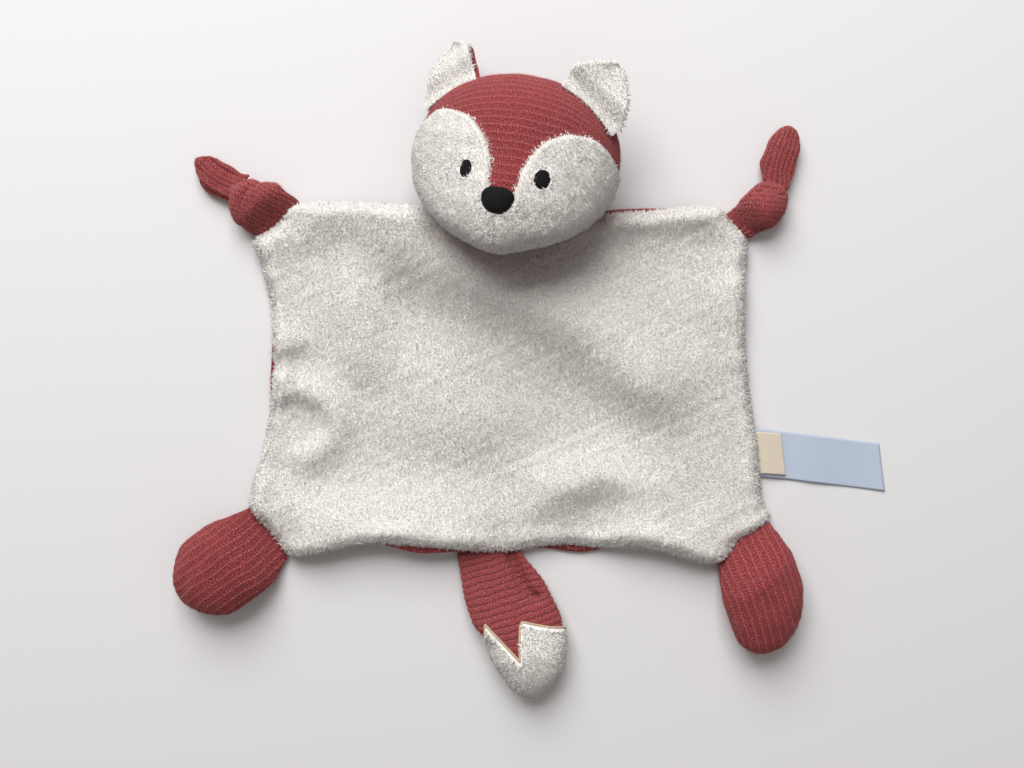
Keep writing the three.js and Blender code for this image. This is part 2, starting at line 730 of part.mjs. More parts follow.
function earLayer(ear, thickness, depth) {
  const rings = [];
  for (const up of earShares) {
    const settled = smooth(up, 0, earSettle);
    const halfWidth = (earBase / 2) * (1 - up ** earFullness) ** earRoundness;
    const full = lerp(earRootThickness, thickness, settled * (1 - earTipThinning * up));
    const rootDepth = Math.sign(depth) * (earRootThickness + gap) / 2;
    const middle = lerp(rootDepth, depth, settled);
    rings.push(ellipse(earSides, halfWidth, full / 2, (x, z) => {
      const curl = earCup * settled * (x / (earBase / 2)) ** 2;
      return new THREE.Vector3(x + ear.skew * up, up * earHeight, middle + z + curl);
    }));
  }
  return toSolid(loft(rings));
}

function addEars() {
  for (const [word, ear] of Object.entries(ears)) {
    const angle = ear.side > 0 ? radians(ear.forward) : Math.PI - radians(ear.forward);
    const seat = new THREE.Group();
    const standOff = earRootThickness + gap / 2 + gap;
    seat.position.copy(headPoint(ear.rise, angle, 0).addScaledVector(headNormal(ear.rise, angle), standOff));
    seat.rotation.set(radians(-ear.tiltBack), 0, radians(ear.turn), 'ZYX');
    headGroup.add(seat);
    const faceAt = (earPlushThickness + gap) / 2;
    const backAt = -(earKnitThickness + gap) / 2;
    addPiece(seat, `ear_${word}_front`, earLayer(ear, earPlushThickness, faceAt), 'plush');
    addPiece(seat, `ear_${word}_back`, earLayer(ear, earKnitThickness, backAt), 'knit');
  }
}

// Labels: strips that leave the side seam and settle on the surface below

function labelStrip(label, bottomAtSeam, bottomOnFloor) {
  const rings = [];
  const corners = [[-1, 0], [1, 0], [1, 1], [-1, 1]];
  for (let i = 0; i <= labelSteps; i++) {
    const y = (label.length * i) / labelSteps;
    const low = lerp(bottomAtSeam, bottomOnFloor, smooth(y, 0, labelSettle));
    const aside = Math.tan(radians(label.turn)) * y;
    rings.push(corners.map(([across, up]) =>
      new THREE.Vector3((across * label.width) / 2 - aside, y, low + up * label.thickness)));
  }
  return toSolid(loft(rings));
}

function sideSeam(y) {
  const step = 1;
  const run = new THREE.Vector2(sideX(1, y + step) - sideX(1, y - step), 2 * step).normalize();
  return { middle: new THREE.Vector2(sideX(1, y), y), out: new THREE.Vector2(run.y, -run.x) };
}

function addLabels() {
  const careSeam = sideSeam(careLabel.y);
  const careSeat = seamGroup(careSeam.middle, careSeam.out, labelStandOff);
  const careLow = seamHeight - careLabel.thickness / 2;
  addPiece(careSeat, 'care_label', labelStrip(careLabel, careLow, 0), 'satin');
  const smallSeam = sideSeam(smallLabel.y);
  const above = careLabel.thickness + gap;
  const smallSeat = seamGroup(smallSeam.middle, smallSeam.out, labelStandOff + above + smallLabel.thickness);
  const strip = labelStrip(smallLabel, careLow + above, above);
  addPiece(smallSeat, 'small_label', strip, 'tape');
}

addBlanket();
addFeet();
addTail();
addArms();
addHead();
addEars();
addLabels();

export default group;
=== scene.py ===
import json
import math
import time

import bmesh
import bpy
import numpy as np
from mathutils import Matrix, Vector


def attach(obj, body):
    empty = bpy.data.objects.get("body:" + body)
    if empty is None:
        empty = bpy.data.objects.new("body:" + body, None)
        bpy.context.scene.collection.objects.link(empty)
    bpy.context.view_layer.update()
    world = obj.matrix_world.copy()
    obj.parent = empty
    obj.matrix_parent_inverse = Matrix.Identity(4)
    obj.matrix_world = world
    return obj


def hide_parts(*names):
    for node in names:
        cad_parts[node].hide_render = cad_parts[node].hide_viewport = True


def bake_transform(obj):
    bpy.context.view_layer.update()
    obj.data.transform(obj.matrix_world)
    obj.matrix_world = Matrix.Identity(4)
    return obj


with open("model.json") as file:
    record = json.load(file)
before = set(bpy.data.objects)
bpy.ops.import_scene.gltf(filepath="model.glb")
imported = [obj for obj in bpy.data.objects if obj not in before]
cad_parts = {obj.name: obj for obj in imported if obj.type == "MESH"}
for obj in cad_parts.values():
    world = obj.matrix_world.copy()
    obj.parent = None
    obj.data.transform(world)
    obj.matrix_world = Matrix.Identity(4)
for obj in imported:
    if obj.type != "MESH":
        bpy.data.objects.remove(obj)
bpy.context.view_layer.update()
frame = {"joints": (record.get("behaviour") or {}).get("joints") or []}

# A flat comforter with a stuffed fox head. Forms are worked out in millimetres and scaled to metres
# when a piece is added. Cloth coordinates, in millimetres too, run across and along the knit's ribs.

mm = 0.001
started = time.perf_counter()


def report(stage):
    print(f"{time.perf_counter() - started:5.1f} s  {stage}", flush=True)


def smooth(x, low, high):
    share = np.clip((x - low) / (high - low), 0, 1)
    return share * share * (3 - 2 * share)


def mix(a, b, share):
    return a + (b - a) * share


def bell(away, width):
    return np.exp(-((away / width) ** 2))


def edgeRound(edge, roll):
    # a quarter circle, from 0 at the edge to 1 at the roll's distance from it
    return np.sqrt(1 - (1 - np.clip(edge / roll, 0, 1)) ** 2)


def tubeCap(run, root, end):
    # rounds a tube off at its root and at its end, over these shares of its length
    return edgeRound(run, root) * np.sqrt(1 - np.clip((run - 1 + end) / end, 0, 1) ** 2)


noiseWaves = 12
noiseSpread = 4.7       # brings a sum of that many waves to about -1 to 1


def softNoise(co, size, seed):
    # waves in random directions, their lengths round the given size
    rng = np.random.default_rng(seed)
    total = np.zeros(len(co))
    for _ in range(noiseWaves):
        wave = rng.normal(size=3)
        wave *= 2 * math.pi / (size * rng.uniform(0.6, 1.9) * np.linalg.norm(wave))
        total += np.sin(co @ wave + rng.uniform(0, 2 * math.pi))
    return total / noiseSpread


def curveThrough(points, steps=8):
    # a smooth line through the points, with this many steps from each to the next
    points = np.array(points, float)
    ends = np.vstack([2 * points[0] - points[1], points, 2 * points[-1] - points[-2]])
    t = np.linspace(0, 1, steps, endpoint=False)[:, None]
    parts = []
    for a, b, c, d in zip(ends, ends[1:], ends[2:], ends[3:]):
        start = 2 * b + (c - a) * t
        parts.append(0.5 * (start + (2 * a - 5 * b + 4 * c - d) * t**2 + (3 * b - a - 3 * c + d) * t**3))
    return np.vstack([*parts, points[-1:]])


def alongCurve(line, share):
    # the places at these shares of the line's length
    run = np.r_[0, np.cumsum(np.linalg.norm(np.diff(line, axis=0), axis=1))]
    return np.stack([np.interp(share * run[-1], run, line[:, i]) for i in range(line.shape[1])], axis=1)


def lineDistance(line, x, y):
    # distance of each point to a polyline, and whether it lies inside it
    best = np.full(len(x), 1e9)
    inside = np.zeros(len(x), bool)
    for (ax, ay), (bx, by) in zip(line, np.roll(line, -1, axis=0)):
        dx, dy = bx - ax, by - ay
        length = dx * dx + dy * dy
        if length < 1e-12:
            continue
        share = np.clip(((x - ax) * dx + (y - ay) * dy) / length, 0, 1)
        best = np.minimum(best, np.hypot(x - ax - share * dx, y - ay - share * dy))
        crosses = (ay > y) != (by > y)
        if dy:
            inside ^= crosses & (x < dx * (y - ay) / dy + ax)
    return best, inside


def lineAway(line, x, y):
    # distance to a line that isn't closed
    line = curveThrough(line)
    return lineDistance(np.vstack([line, line[-2::-1]]), x, y)[0]


def signedDistance(line, x, y):
    # distance to a closed line, below nothing outside it
    best, inside = lineDistance(line, x, y)
    return np.where(inside, best, -best)


# Meshes

def meshFrom(name, bm):
    bmesh.ops.recalc_face_normals(bm, faces=bm.faces)
    mesh = bpy.data.meshes.new(name)
    bm.to_mesh(mesh)
    bm.free()
    return mesh


def placesOf(mesh):
    co = np.empty(len(mesh.vertices) * 3)
    mesh.vertices.foreach_get("co", co)
    return co.reshape(-1, 3)


def setPlaces(mesh, co):
    mesh.vertices.foreach_set("co", np.ascontiguousarray(co).ravel())
    mesh.update()


def normalsOf(mesh):
    normals = np.empty(len(mesh.vertices) * 3)
    mesh.vertex_normals.foreach_get("vector", normals)
    return normals.reshape(-1, 3)


def turned(co, seat):
    seat = np.array(seat)
    return co @ seat[:3, :3].T + seat[:3, 3]


def moveTo(mesh, seat):
    setPlaces(mesh, turned(placesOf(mesh), seat))


def pushOut(mesh, height):
    # each point moves along its normal, inwards where the height is below nothing
    setPlaces(mesh, placesOf(mesh) + normalsOf(mesh) * height[:, None])


def layeredMesh(name, columns, rows):
    # two grids, at z 1 and -1, joined at their edges: x and y run from -1 to 1
    bm = bmesh.new()
    bmesh.ops.create_grid(bm, x_segments=columns, y_segments=rows, size=1)
    bmesh.ops.translate(bm, verts=bm.verts, vec=(0, 0, 1))
    rim = [edge for edge in bm.edges if edge.is_boundary]
    lower = bmesh.ops.duplicate(bm, geom=bm.verts[:] + bm.edges[:] + bm.faces[:])["geom"]
    kinds = (bmesh.types.BMVert, bmesh.types.BMEdge, bmesh.types.BMFace)
    verts, edges, faces = ([part for part in lower if isinstance(part, kind)] for kind in kinds)
    bmesh.ops.translate(bm, verts=verts, vec=(0, 0, -2))
    bmesh.ops.reverse_faces(bm, faces=faces)
    rim += [edge for edge in edges if edge.is_boundary]
    bmesh.ops.bridge_loops(bm, edges=rim)
    return meshFrom(name, bm)


def ballMesh(name, sides, rings):
    # a unit ball with its poles on the y axis, rolled up from a grid
    bm = bmesh.new()
    bmesh.ops.create_grid(bm, x_segments=sides, y_segments=rings, size=1)
    for vert in bm.verts:
        turn, rise = math.pi * vert.co.x, math.pi / 2 * vert.co.y
        vert.co = (math.cos(rise) * math.cos(turn), math.sin(rise), math.cos(rise) * math.sin(turn))
    rim = [vert for vert in bm.verts if vert.is_boundary]
    bmesh.ops.remove_doubles(bm, verts=rim, dist=1e-6)
    return meshFrom(name, bm)


def roundBall(unit):
    # how far along the axis each point lies, from 0 to 1, and its turn round it, a quarter turn being up
    return np.arccos(np.clip(-unit[:, 1], -1, 1)) / math.pi, np.arctan2(unit[:, 2], unit[:, 0])


def onlyWhere(mesh, keep):
    # cuts away the points that aren't kept, and the ones that are left without a face
    bm = bmesh.new()
    bm.from_mesh(mesh)
    bm.verts.ensure_lookup_table()
    bmesh.ops.delete(bm, geom=[bm.verts[i] for i in np.flatnonzero(~keep)], context="VERTS")
    loose = [vert for vert in bm.verts if not vert.link_faces]
    bmesh.ops.delete(bm, geom=loose, context="VERTS")
    bm.to_mesh(mesh)
    bm.free()


def setMap(mesh, name, flat):
    corners = np.empty(len(mesh.loops), np.int32)
    mesh.loops.foreach_get("vertex_index", corners)
    mesh.uv_layers.new(name=name).data.foreach_set("uv", np.ascontiguousarray(flat[corners]).ravel())


def setClothMap(mesh, across, along):
    setMap(mesh, "cloth", np.stack([across, along], axis=1))


def setShare(mesh, name, values):
    attribute = mesh.attributes.new(name, "FLOAT", "POINT")
    attribute.data.foreach_set("value", np.asarray(values, np.float32))


def ribHeight(across, rib):
    # a raised wale at each multiple of the pitch, or a groove where the height is below nothing
    away = np.abs((across / rib["pitch"] + 0.5) % 1 - 0.5) * rib["pitch"]
    return rib["height"] * bell(away, rib["width"])


def raiseRibs(mesh, across, rib, share=1):
    pushOut(mesh, ribHeight(across, rib) * share)


def addPiece(mesh, material, body, nodes=()):
    # a piece without a body is left without one here, or rides one later on
    co = placesOf(mesh) * mm
    co[:, 2] = np.maximum(co[:, 2], 0)      # what would sink in lies flat on the surface
    setPlaces(mesh, co)
    mesh.polygons.foreach_set("use_smooth", [True] * len(mesh.polygons))
    mesh.materials.clear()
    mesh.materials.append(material)
    piece = bpy.data.objects.new(mesh.name, mesh)
    bpy.context.scene.collection.objects.link(piece)
    if body:
        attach(piece, body)
    if nodes:
        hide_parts(*nodes)
    return piece


def bendAt(piece):
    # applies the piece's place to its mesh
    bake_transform(piece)


def jointNamed(name):
    return next(joint for joint in frame["joints"] if joint["name"] == name)


def hingeSeat(name, turn=1):
    # x along the hinge, y out of the seam, z up, on the surface that the toy lies on
    found = jointNamed(name)
    side = Vector(found["axis"]).normalized() * turn
    up = Vector((0, 0, 1))
    out = up.cross(side)
    place = Vector(found["pos_m"]) / mm
    rows = zip(side, out, up, (place.x, place.y, 0))
    return Matrix([*[list(row) for row in rows], [0, 0, 0, 1]])


report("materials")


def addNode(tree, kind, inputs=None, **settings):
    node = tree.nodes.new(kind)
    for key, value in settings.items():
        setattr(node, key, value)
    for key, value in (inputs or {}).items():
        if isinstance(value, bpy.types.NodeSocket):
            tree.links.new(value, node.inputs[key])
        else:
            node.inputs[key].default_value = value
    return node


def maths(tree, operation, *values):
    return addNode(tree, "ShaderNodeMath", dict(enumerate(values)), operation=operation).outputs[0]


def smoothStep(tree, value, low, high):
    settings = {0: value, 1: low, 2: high}
    return addNode(tree, "ShaderNodeMapRange", settings, interpolation_type="SMOOTHSTEP").outputs[0]


def noiseOver(tree, vector, scale, detail, roughness=0.5):
    settings = {"Vector": vector, "Scale": scale, "Detail": detail, "Roughness": roughness}
    return addNode(tree, "ShaderNodeTexNoise", settings).outputs["Fac"]


def vectorMaths(tree, operation, settings):
    return addNode(tree, "ShaderNodeVectorMath", settings, operation=operation).outputs[0]


def mixColour(tree, share, first, second):
    node = addNode(tree, "ShaderNodeMix", data_type="RGBA")
    for index, value in ((0, share), (6, first), (7, second)):
        if isinstance(value, bpy.types.NodeSocket):
            tree.links.new(value, node.inputs[index])
        else:
            node.inputs[index].default_value = value if index == 0 else (*value, 1)
    return node.outputs[2]


def newGroup(name, inputs, outputs):
    tree = bpy.data.node_groups.new(name, "ShaderNodeTree")
    for socket, kind in inputs:
        tree.interface.new_socket(socket, in_out="INPUT", socket_type=kind)
    for socket, kind in outputs:
        tree.interface.new_socket(socket, in_out="OUTPUT", socket_type=kind)
    return tree, tree.nodes.new("NodeGroupInput").outputs, tree.nodes.new("NodeGroupOutput").inputs


def buildStitchGroup():
    # knitted loops: chevrons up each wale, staggered purl bumps between the wales, loose fibre over all
    number, vector = "NodeSocketFloat", "NodeSocketVector"
    tree, given, out = newGroup(
        "knitLoops",
        [("Cloth", vector), ("Pitch", number), ("Wale", number), ("Row", number), ("Slant", number)],
        [("Wale", number), ("Loop", number), ("Purl", number), ("Height", number), ("Fibre", number)],
    )
    parts = addNode(tree, "ShaderNodeSeparateXYZ", {0: given["Cloth"]}).outputs
    wander = noiseOver(tree, given["Cloth"], 0.22, 2)
    shift = maths(tree, "MULTIPLY_ADD", wander, 0.5, parts[0])
    cell = maths(tree, "FRACT", maths(tree, "ADD", maths(tree, "DIVIDE", shift, given["Pitch"]), 0.45))
    fromMiddle = maths(tree, "ABSOLUTE", maths(tree, "SUBTRACT", cell, 0.5))
    away = maths(tree, "MULTIPLY", fromMiddle, given["Pitch"])
    reach = maths(tree, "DIVIDE", away, given["Wale"])
    wale = smoothStep(tree, reach, 1.3, 0.5)
    jitter = noiseOver(tree, given["Cloth"], 0.9, 2)
    straight = maths(tree, "DIVIDE", parts[1], given["Row"])
    step = maths(tree, "ADD", straight, maths(tree, "MULTIPLY", away, given["Slant"]))
    row = maths(tree, "MULTIPLY_ADD", jitter, 0.9, step)
    loop = maths(tree, "ABSOLUTE", maths(tree, "SINE", maths(tree, "MULTIPLY", row, math.pi)))
    aside = maths(tree, "MULTIPLY_ADD", jitter, 0.5, away)
    columns = maths(tree, "SINE", maths(tree, "MULTIPLY", aside, 5.4))
    rows = maths(tree, "SINE", maths(tree, "MULTIPLY", row, 2 * math.pi))
    purl = maths(tree, "MULTIPLY_ADD", maths(tree, "MULTIPLY", columns, rows), 0.5, 0.5)
    fibre = noiseOver(tree, given["Cloth"], 1.7, 5, 0.7)
    bumps = maths(tree, "MULTIPLY", purl, 0.7)
    body = addNode(tree, "ShaderNodeMix", {0: wale, 2: bumps, 3: loop}).outputs[0]
    height = maths(tree, "MULTIPLY_ADD", fibre, 0.8, body)
    for name, value in (("Wale", wale), ("Loop", loop), ("Purl", purl), ("Height", height), ("Fibre", fibre)):
        tree.links.new(value, out[name])
    return tree


def buildPatchGroup():
    # slow changes of tone over a cloth, from handling and from how its pile or fibre lies
    tree, given, out = newGroup(
        "clothPatches",
        [("Vector", "NodeSocketVector"), ("Size", "NodeSocketFloat")],
        [("Patch", "NodeSocketFloat")],
    )
    scaled = vectorMaths(tree, "SCALE", {0: given["Vector"], 3: given["Size"]})
    tree.links.new(noiseOver(tree, scaled, 1, 3), out["Patch"])
    return tree


def newMaterial(name, roughness, sheen=0.0, sheenColour=(1, 1, 1)):
    material = bpy.data.materials.new(name)
    material.use_nodes = True
    shader = material.node_tree.nodes["Principled BSDF"]
    shader.inputs["Roughness"].default_value = roughness
    shader.inputs["Specular IOR Level"].default_value = 0.25
    shader.inputs["Sheen Weight"].default_value = sheen
    shader.inputs["Sheen Roughness"].default_value = 0.5
    shader.inputs["Sheen Tint"].default_value = (*sheenColour, 1)
    return material, material.node_tree, shader


def finishMaterial(tree, shader, colour, height, depth):
    tree.links.new(colour, shader.inputs["Base Color"])
    bump = addNode(tree, "ShaderNodeBump", {"Height": height, "Strength": 0.8, "Distance": depth * mm})
    tree.links.new(bump.outputs[0], shader.inputs["Normal"])


stitchGroup = buildStitchGroup()
patchGroup = buildPatchGroup()

knitColours = {
    # the yarn lit: a painted highlight on the wales and on the loops' crowns
    "wale": (0.57, 0.13, 0.13),
    "purl": (0.33, 0.044, 0.05),
    # painted shade, for the gaps between stitches and the grooves between ribs
    "gapShade": (0.07, 0.005, 0.009),
    "fluff": (0.74, 0.31, 0.30),
}
plushColours = {
    "tip": (0.95, 0.945, 0.93),
    # painted shade: darker at the foot of the tufts and on the cloth seen between them
    "root": (0.88, 0.845, 0.80),
    "worn": (0.90, 0.88, 0.85),
    "shade": (0.72, 0.68, 0.63),
}


def wornShare(tree, place, size, low, most):
    # slow changes over the cloth, from nothing where it is fresh
    patch = addNode(tree, "ShaderNodeGroup", {"Vector": place, "Size": size}, node_tree=patchGroup).outputs[0]
    return addNode(tree, "ShaderNodeMapRange", {0: patch, 1: low, 2: 0.75, 3: 0.0, 4: most}).outputs[0]


def knitMaterial(name, pitch, wale, row, slant, grooved=False):
    material, tree, shader = newMaterial(name, 0.95, 0.12, (0.95, 0.55, 0.5))
    cloth = addNode(tree, "ShaderNodeUVMap", uv_map="cloth").outputs[0]
    place = addNode(tree, "ShaderNodeTexCoord").outputs["Object"]
    settings = {"Cloth": cloth, "Pitch": pitch, "Wale": wale, "Row": row, "Slant": slant}
    stitch = addNode(tree, "ShaderNodeGroup", settings, node_tree=stitchGroup).outputs
    c = knitColours
    speck = smoothStep(tree, stitch["Fibre"], 0.42, 0.6)
    gap = maths(tree, "MULTIPLY", maths(tree, "SUBTRACT", 1, stitch["Purl"]), 1.15)
    # painted shade in the gaps between the purl bumps, broken up by loose fibre
    hole = smoothStep(tree, maths(tree, "MULTIPLY_ADD", speck, -0.55, gap), -0.1, 0.7)
    # painted highlight across each loop's crown, mixed with random fibre specks
    litLoopsAndSpecks = maths(tree, "MULTIPLY_ADD", stitch["Loop"], 0.5, maths(tree, "MULTIPLY", speck, 0.5))
    knitted = mixColour(tree, litLoopsAndSpecks, c["purl"], c["wale"])
    if grooved:     # broad ribs of plain loops, parted by narrow grooves painted dark as shade
        ground = mixColour(tree, maths(tree, "MULTIPLY", hole, 0.75), knitted, c["gapShade"])
        # painted shade along each narrow groove
        groove = maths(tree, "MULTIPLY", stitch["Wale"], maths(tree, "MULTIPLY_ADD", speck, -0.4, 0.85))
        ribbed = mixColour(tree, groove, ground, c["gapShade"])
    else:           # thin wales with a painted highlight, with rows of purl bumps between them and painted shade in their gaps
        ground = mixColour(tree, maths(tree, "MULTIPLY", hole, 0.85), c["purl"], c["gapShade"])
        beaded = maths(tree, "MULTIPLY", stitch["Wale"], maths(tree, "MULTIPLY_ADD", speck, 0.55, 0.4))
        ribbed = mixColour(tree, beaded, ground, knitted)
    hairs = maths(tree, "MULTIPLY", smoothStep(tree, stitch["Fibre"], 0.52, 0.7), 0.85)
    hairy = mixColour(tree, hairs, ribbed, c["fluff"])
    worn = wornShare(tree, place, 45.0, 0.3, 0.3)
    finishMaterial(tree, shader, mixColour(tree, worn, hairy, c["purl"]), stitch["Height"], 0.6)
    return material


def plushMaterial(name, onPile):
    material, tree, shader = newMaterial(name, 0.95, 0.3, (1.0, 0.98, 0.94))
    place = addNode(tree, "ShaderNodeTexCoord").outputs["Object"]
    fine = noiseOver(tree, place, 1500, 3)
    c = plushColours
    if onPile:
        rise = addNode(tree, "ShaderNodeAttribute", attribute_name="rise").outputs["Fac"]
        tone = addNode(tree, "ShaderNodeAttribute", attribute_name="tone").outputs["Fac"]
        # painted shade: each tuft darker from its tip down to its root
        rootShadedPile = mixColour(tree, maths(tree, "POWER", rise, 0.8), c["root"], c["tip"])
        toned = mixColour(tree, maths(tree, "MULTIPLY", tone, 0.2), rootShadedPile, c["shade"])
    else:
        # painted shade: the cloth between the tufts is mostly the darker root colour, varied by fine noise
        toned = mixColour(tree, smoothStep(tree, fine, 0.35, 0.75), c["root"], c["worn"])
    worn = wornShare(tree, place, 60.0, 0.35, 0.35)
    finishMaterial(tree, shader, mixColour(tree, worn, toned, c["worn"]), fine, 0.6)
    return material


def threadMaterial(name, dark, light, lines, roughness):
    # satin stitch or woven ribbon: fine parallel threads along the cloth map's first direction
    material, tree, shader = newMaterial(name, roughness)
    shader.inputs["Specular IOR Level"].default_value = 0.15
    cloth = addNode(tree, "ShaderNodeUVMap", uv_map="cloth").outputs[0]
    parts = addNode(tree, "ShaderNodeSeparateXYZ", {0: cloth}).outputs
    noise = noiseOver(tree, cloth, 1.1, 3)
    phase = maths(tree, "MULTIPLY_ADD", noise, 2.5, maths(tree, "MULTIPLY", parts[1], lines * 2 * math.pi))
    thread = maths(tree, "MULTIPLY_ADD", maths(tree, "SINE", phase), 0.5, 0.5)
    colour = mixColour(tree, thread, dark, light)
    uneven = mixColour(tree, maths(tree, "MULTIPLY", noise, 0.4), colour, dark)
    finishMaterial(tree, shader, uneven, thread, 0.12)
    return material


def feltMaterial(name, first, second):
    material, tree, shader = newMaterial(name, 0.95, 0.1)
    place = addNode(tree, "ShaderNodeTexCoord").outputs["Object"]
    noise = noiseOver(tree, place, 900, 4)
    finishMaterial(tree, shader, mixColour(tree, noise, first, second), noise, 0.3)
    return material


limbRib = {"pitch": 4.0, "width": 0.5, "height": 0.28}
headRib = {"pitch": 3.85, "width": 0.5, "height": 0.28}
tailRib = {"pitch": 3.2, "width": 0.5, "height": -0.5}
backRib = {"pitch": 4.0, "width": 0.6, "height": 0.3}
armRib = {"pitch": 2.6, "width": 0.45, "height": -0.4}
knotRib = {"pitch": 2.5, "width": 0.45, "height": -0.28}

knitRibbed = knitMaterial("knitRibbed", limbRib["pitch"], 0.5, 1.25, 0.5)
knitHead = knitMaterial("knitHead", headRib["pitch"], 0.45, 1.25, 0.5)
knitTail = knitMaterial("knitTail", tailRib["pitch"], 0.4, 1.2, 0.45, grooved=True)
knitArm = knitMaterial("knitArm", armRib["pitch"], 0.36, 1.2, 0.45, grooved=True)
plushCloth = plushMaterial("plushCloth", False)
plushPile = plushMaterial("plushPile", True)
satinStitch = threadMaterial("satinStitch", (0.003, 0.003, 0.0035), (0.014, 0.013, 0.015), 2.0, 0.75)
satinRibbon = threadMaterial("satinRibbon", (0.49, 0.56, 0.69), (0.56, 0.63, 0.77), 2.6, 0.42)
wovenTape = threadMaterial("wovenTape", (0.62, 0.54, 0.43), (0.76, 0.68, 0.56), 1.6, 0.75)
tanEdge = feltMaterial("tanEdge", (0.40, 0.29, 0.18), (0.62, 0.50, 0.36))
fibreFill = feltMaterial("fibreFill", (0.80, 0.79, 0.76), (0.9, 0.89, 0.87))
fluffThread = feltMaterial("fluffThread", (0.42, 0.08, 0.085), (0.64, 0.24, 0.235))


report("pile")

pile = {
    "plush": {"width": 0.48, "height": 1.05, "lean": 0.7, "stray": 0.9, "clump": 1.2},
    "knit": {"width": 0.14, "height": 1.2, "lean": 2.6, "stray": 1.25, "clump": 3.0},
    "spacing": 0.35,        # mm between tufts, at the least
    "hairSpacing": 0.75,
    "density": 1.6e7,       # tufts to a square metre, at the most
    "least": 0.7,           # sizes of the smallest and the largest tuft
    "most": 1.25,
    "edge": 2.1,            # how much longer the tufts are where they grow thinly, as at a hem
}


def tuftObject(name, kind):
    # a lock of fibre: three faces that meet in a point
    bm = bmesh.new()
    bmesh.ops.create_cone(bm, segments=3, radius1=kind["width"] / 2, radius2=0, depth=kind["height"])
    bmesh.ops.translate(bm, verts=bm.verts, vec=(0, 0, kind["height"] / 2))
    mesh = meshFrom(name, bm)
    setShare(mesh, "rise", placesOf(mesh)[:, 2] / kind["height"])
    setPlaces(mesh, placesOf(mesh) * mm)
    mesh.polygons.foreach_set("use_smooth", [True] * len(mesh.polygons))
    tuft = bpy.data.objects.new(name, mesh)
    bpy.context.scene.collection.objects.link(tuft)
    return tuft


def buildPileTree(name, tuft, kind):
    # neighbouring tufts lean together by the kind's lean, in radians, and each strays by its own share
    tree = bpy.data.node_groups.new(name, "GeometryNodeTree")
    for socket, way, sort in (("Cloth", "INPUT", "NodeSocketGeometry"), ("Seed", "INPUT", "NodeSocketInt"),
                              ("Spacing", "INPUT", "NodeSocketFloat"), ("Size", "INPUT", "NodeSocketFloat"),
                              ("Low", "INPUT", "NodeSocketFloat"), ("High", "INPUT", "NodeSocketFloat"),
                              ("Pile", "OUTPUT", "NodeSocketGeometry")):
        tree.interface.new_socket(socket, in_out=way, socket_type=sort)
    given = tree.nodes.new("NodeGroupInput").outputs
    grows = addNode(tree, "GeometryNodeInputNamedAttribute", {"Name": "grows"}, data_type="FLOAT").outputs[0]
    scatter = addNode(tree, "GeometryNodeDistributePointsOnFaces", {
        "Mesh": given["Cloth"], "Distance Min": given["Spacing"], "Density Max": pile["density"],
        "Density Factor": grows, "Seed": given["Seed"],
    }, distribute_method="POISSON")
    tone = addNode(tree, "FunctionNodeRandomValue", {"Seed": 5}, data_type="FLOAT").outputs[1]
    toned = addNode(tree, "GeometryNodeStoreNamedAttribute", {
        "Geometry": scatter.outputs["Points"], "Name": "tone", "Value": tone,
    }, data_type="FLOAT", domain="POINT").outputs[0]
    place = tree.nodes.new("GeometryNodeInputPosition").outputs[0]
    up = addNode(tree, "ShaderNodeSeparateXYZ", {0: place}).outputs[1]
    inBand = maths(tree, "MULTIPLY", maths(tree, "GREATER_THAN", up, given["Low"]),
                   maths(tree, "LESS_THAN", up, given["High"]))
    band = addNode(tree, "GeometryNodeSeparateGeometry", {0: toned, 1: inBand}, domain="POINT").outputs[0]
    clumps = addNode(tree, "ShaderNodeTexNoise", {"Scale": 1 / (kind["clump"] * mm), "Detail": 1})
    centred = vectorMaths(tree, "SUBTRACT", {0: clumps.outputs["Color"], 1: (0.5, 0.5, 0.5)})
    lean, stray = kind["lean"], kind["stray"]
    together = vectorMaths(tree, "MULTIPLY", {0: centred, 1: (lean, lean, 0)})
    strays = addNode(tree, "FunctionNodeRandomValue", {
        0: (-stray, -stray, 0), 1: (stray, stray, 0), "Seed": 11,
    }, data_type="FLOAT_VECTOR").outputs[0]
    leans = vectorMaths(tree, "ADD", {0: together, 1: strays})
    bent = addNode(tree, "FunctionNodeEulerToRotation", {0: leans}).outputs[0]
    turn = addNode(tree, "FunctionNodeRotateRotation", {0: scatter.outputs["Rotation"], 1: bent},
                   rotation_space="LOCAL").outputs[0]
    size = addNode(tree, "FunctionNodeRandomValue", {2: pile["least"], 3: pile["most"], "Seed": 23},
                   data_type="FLOAT").outputs[1]
    long = addNode(tree, "ShaderNodeMapRange", {0: grows, 1: 0.4, 2: 1.0, 3: pile["edge"], 4: 1.0}).outputs[0]
    scale = maths(tree, "MULTIPLY", maths(tree, "MULTIPLY", size, long), given["Size"])
    shape = addNode(tree, "GeometryNodeObjectInfo", {"Object": tuft}).outputs["Geometry"]
    placed = addNode(tree, "GeometryNodeInstanceOnPoints", {
        "Points": band, "Instance": shape, "Rotation": turn, "Scale": scale}).outputs[0]
    real = addNode(tree, "GeometryNodeRealizeInstances", {0: placed}).outputs[0]
    out = tree.nodes.new("NodeGroupOutput")
    tree.links.new(real, out.inputs[0])
    return tree


plushTuft = tuftObject("plushTuft", pile["plush"])
knitHair = tuftObject("knitHair", pile["knit"])
plushTree = buildPileTree("scatterTufts", plushTuft, pile["plush"])
hairTree = buildPileTree("scatterHairs", knitHair, pile["knit"])


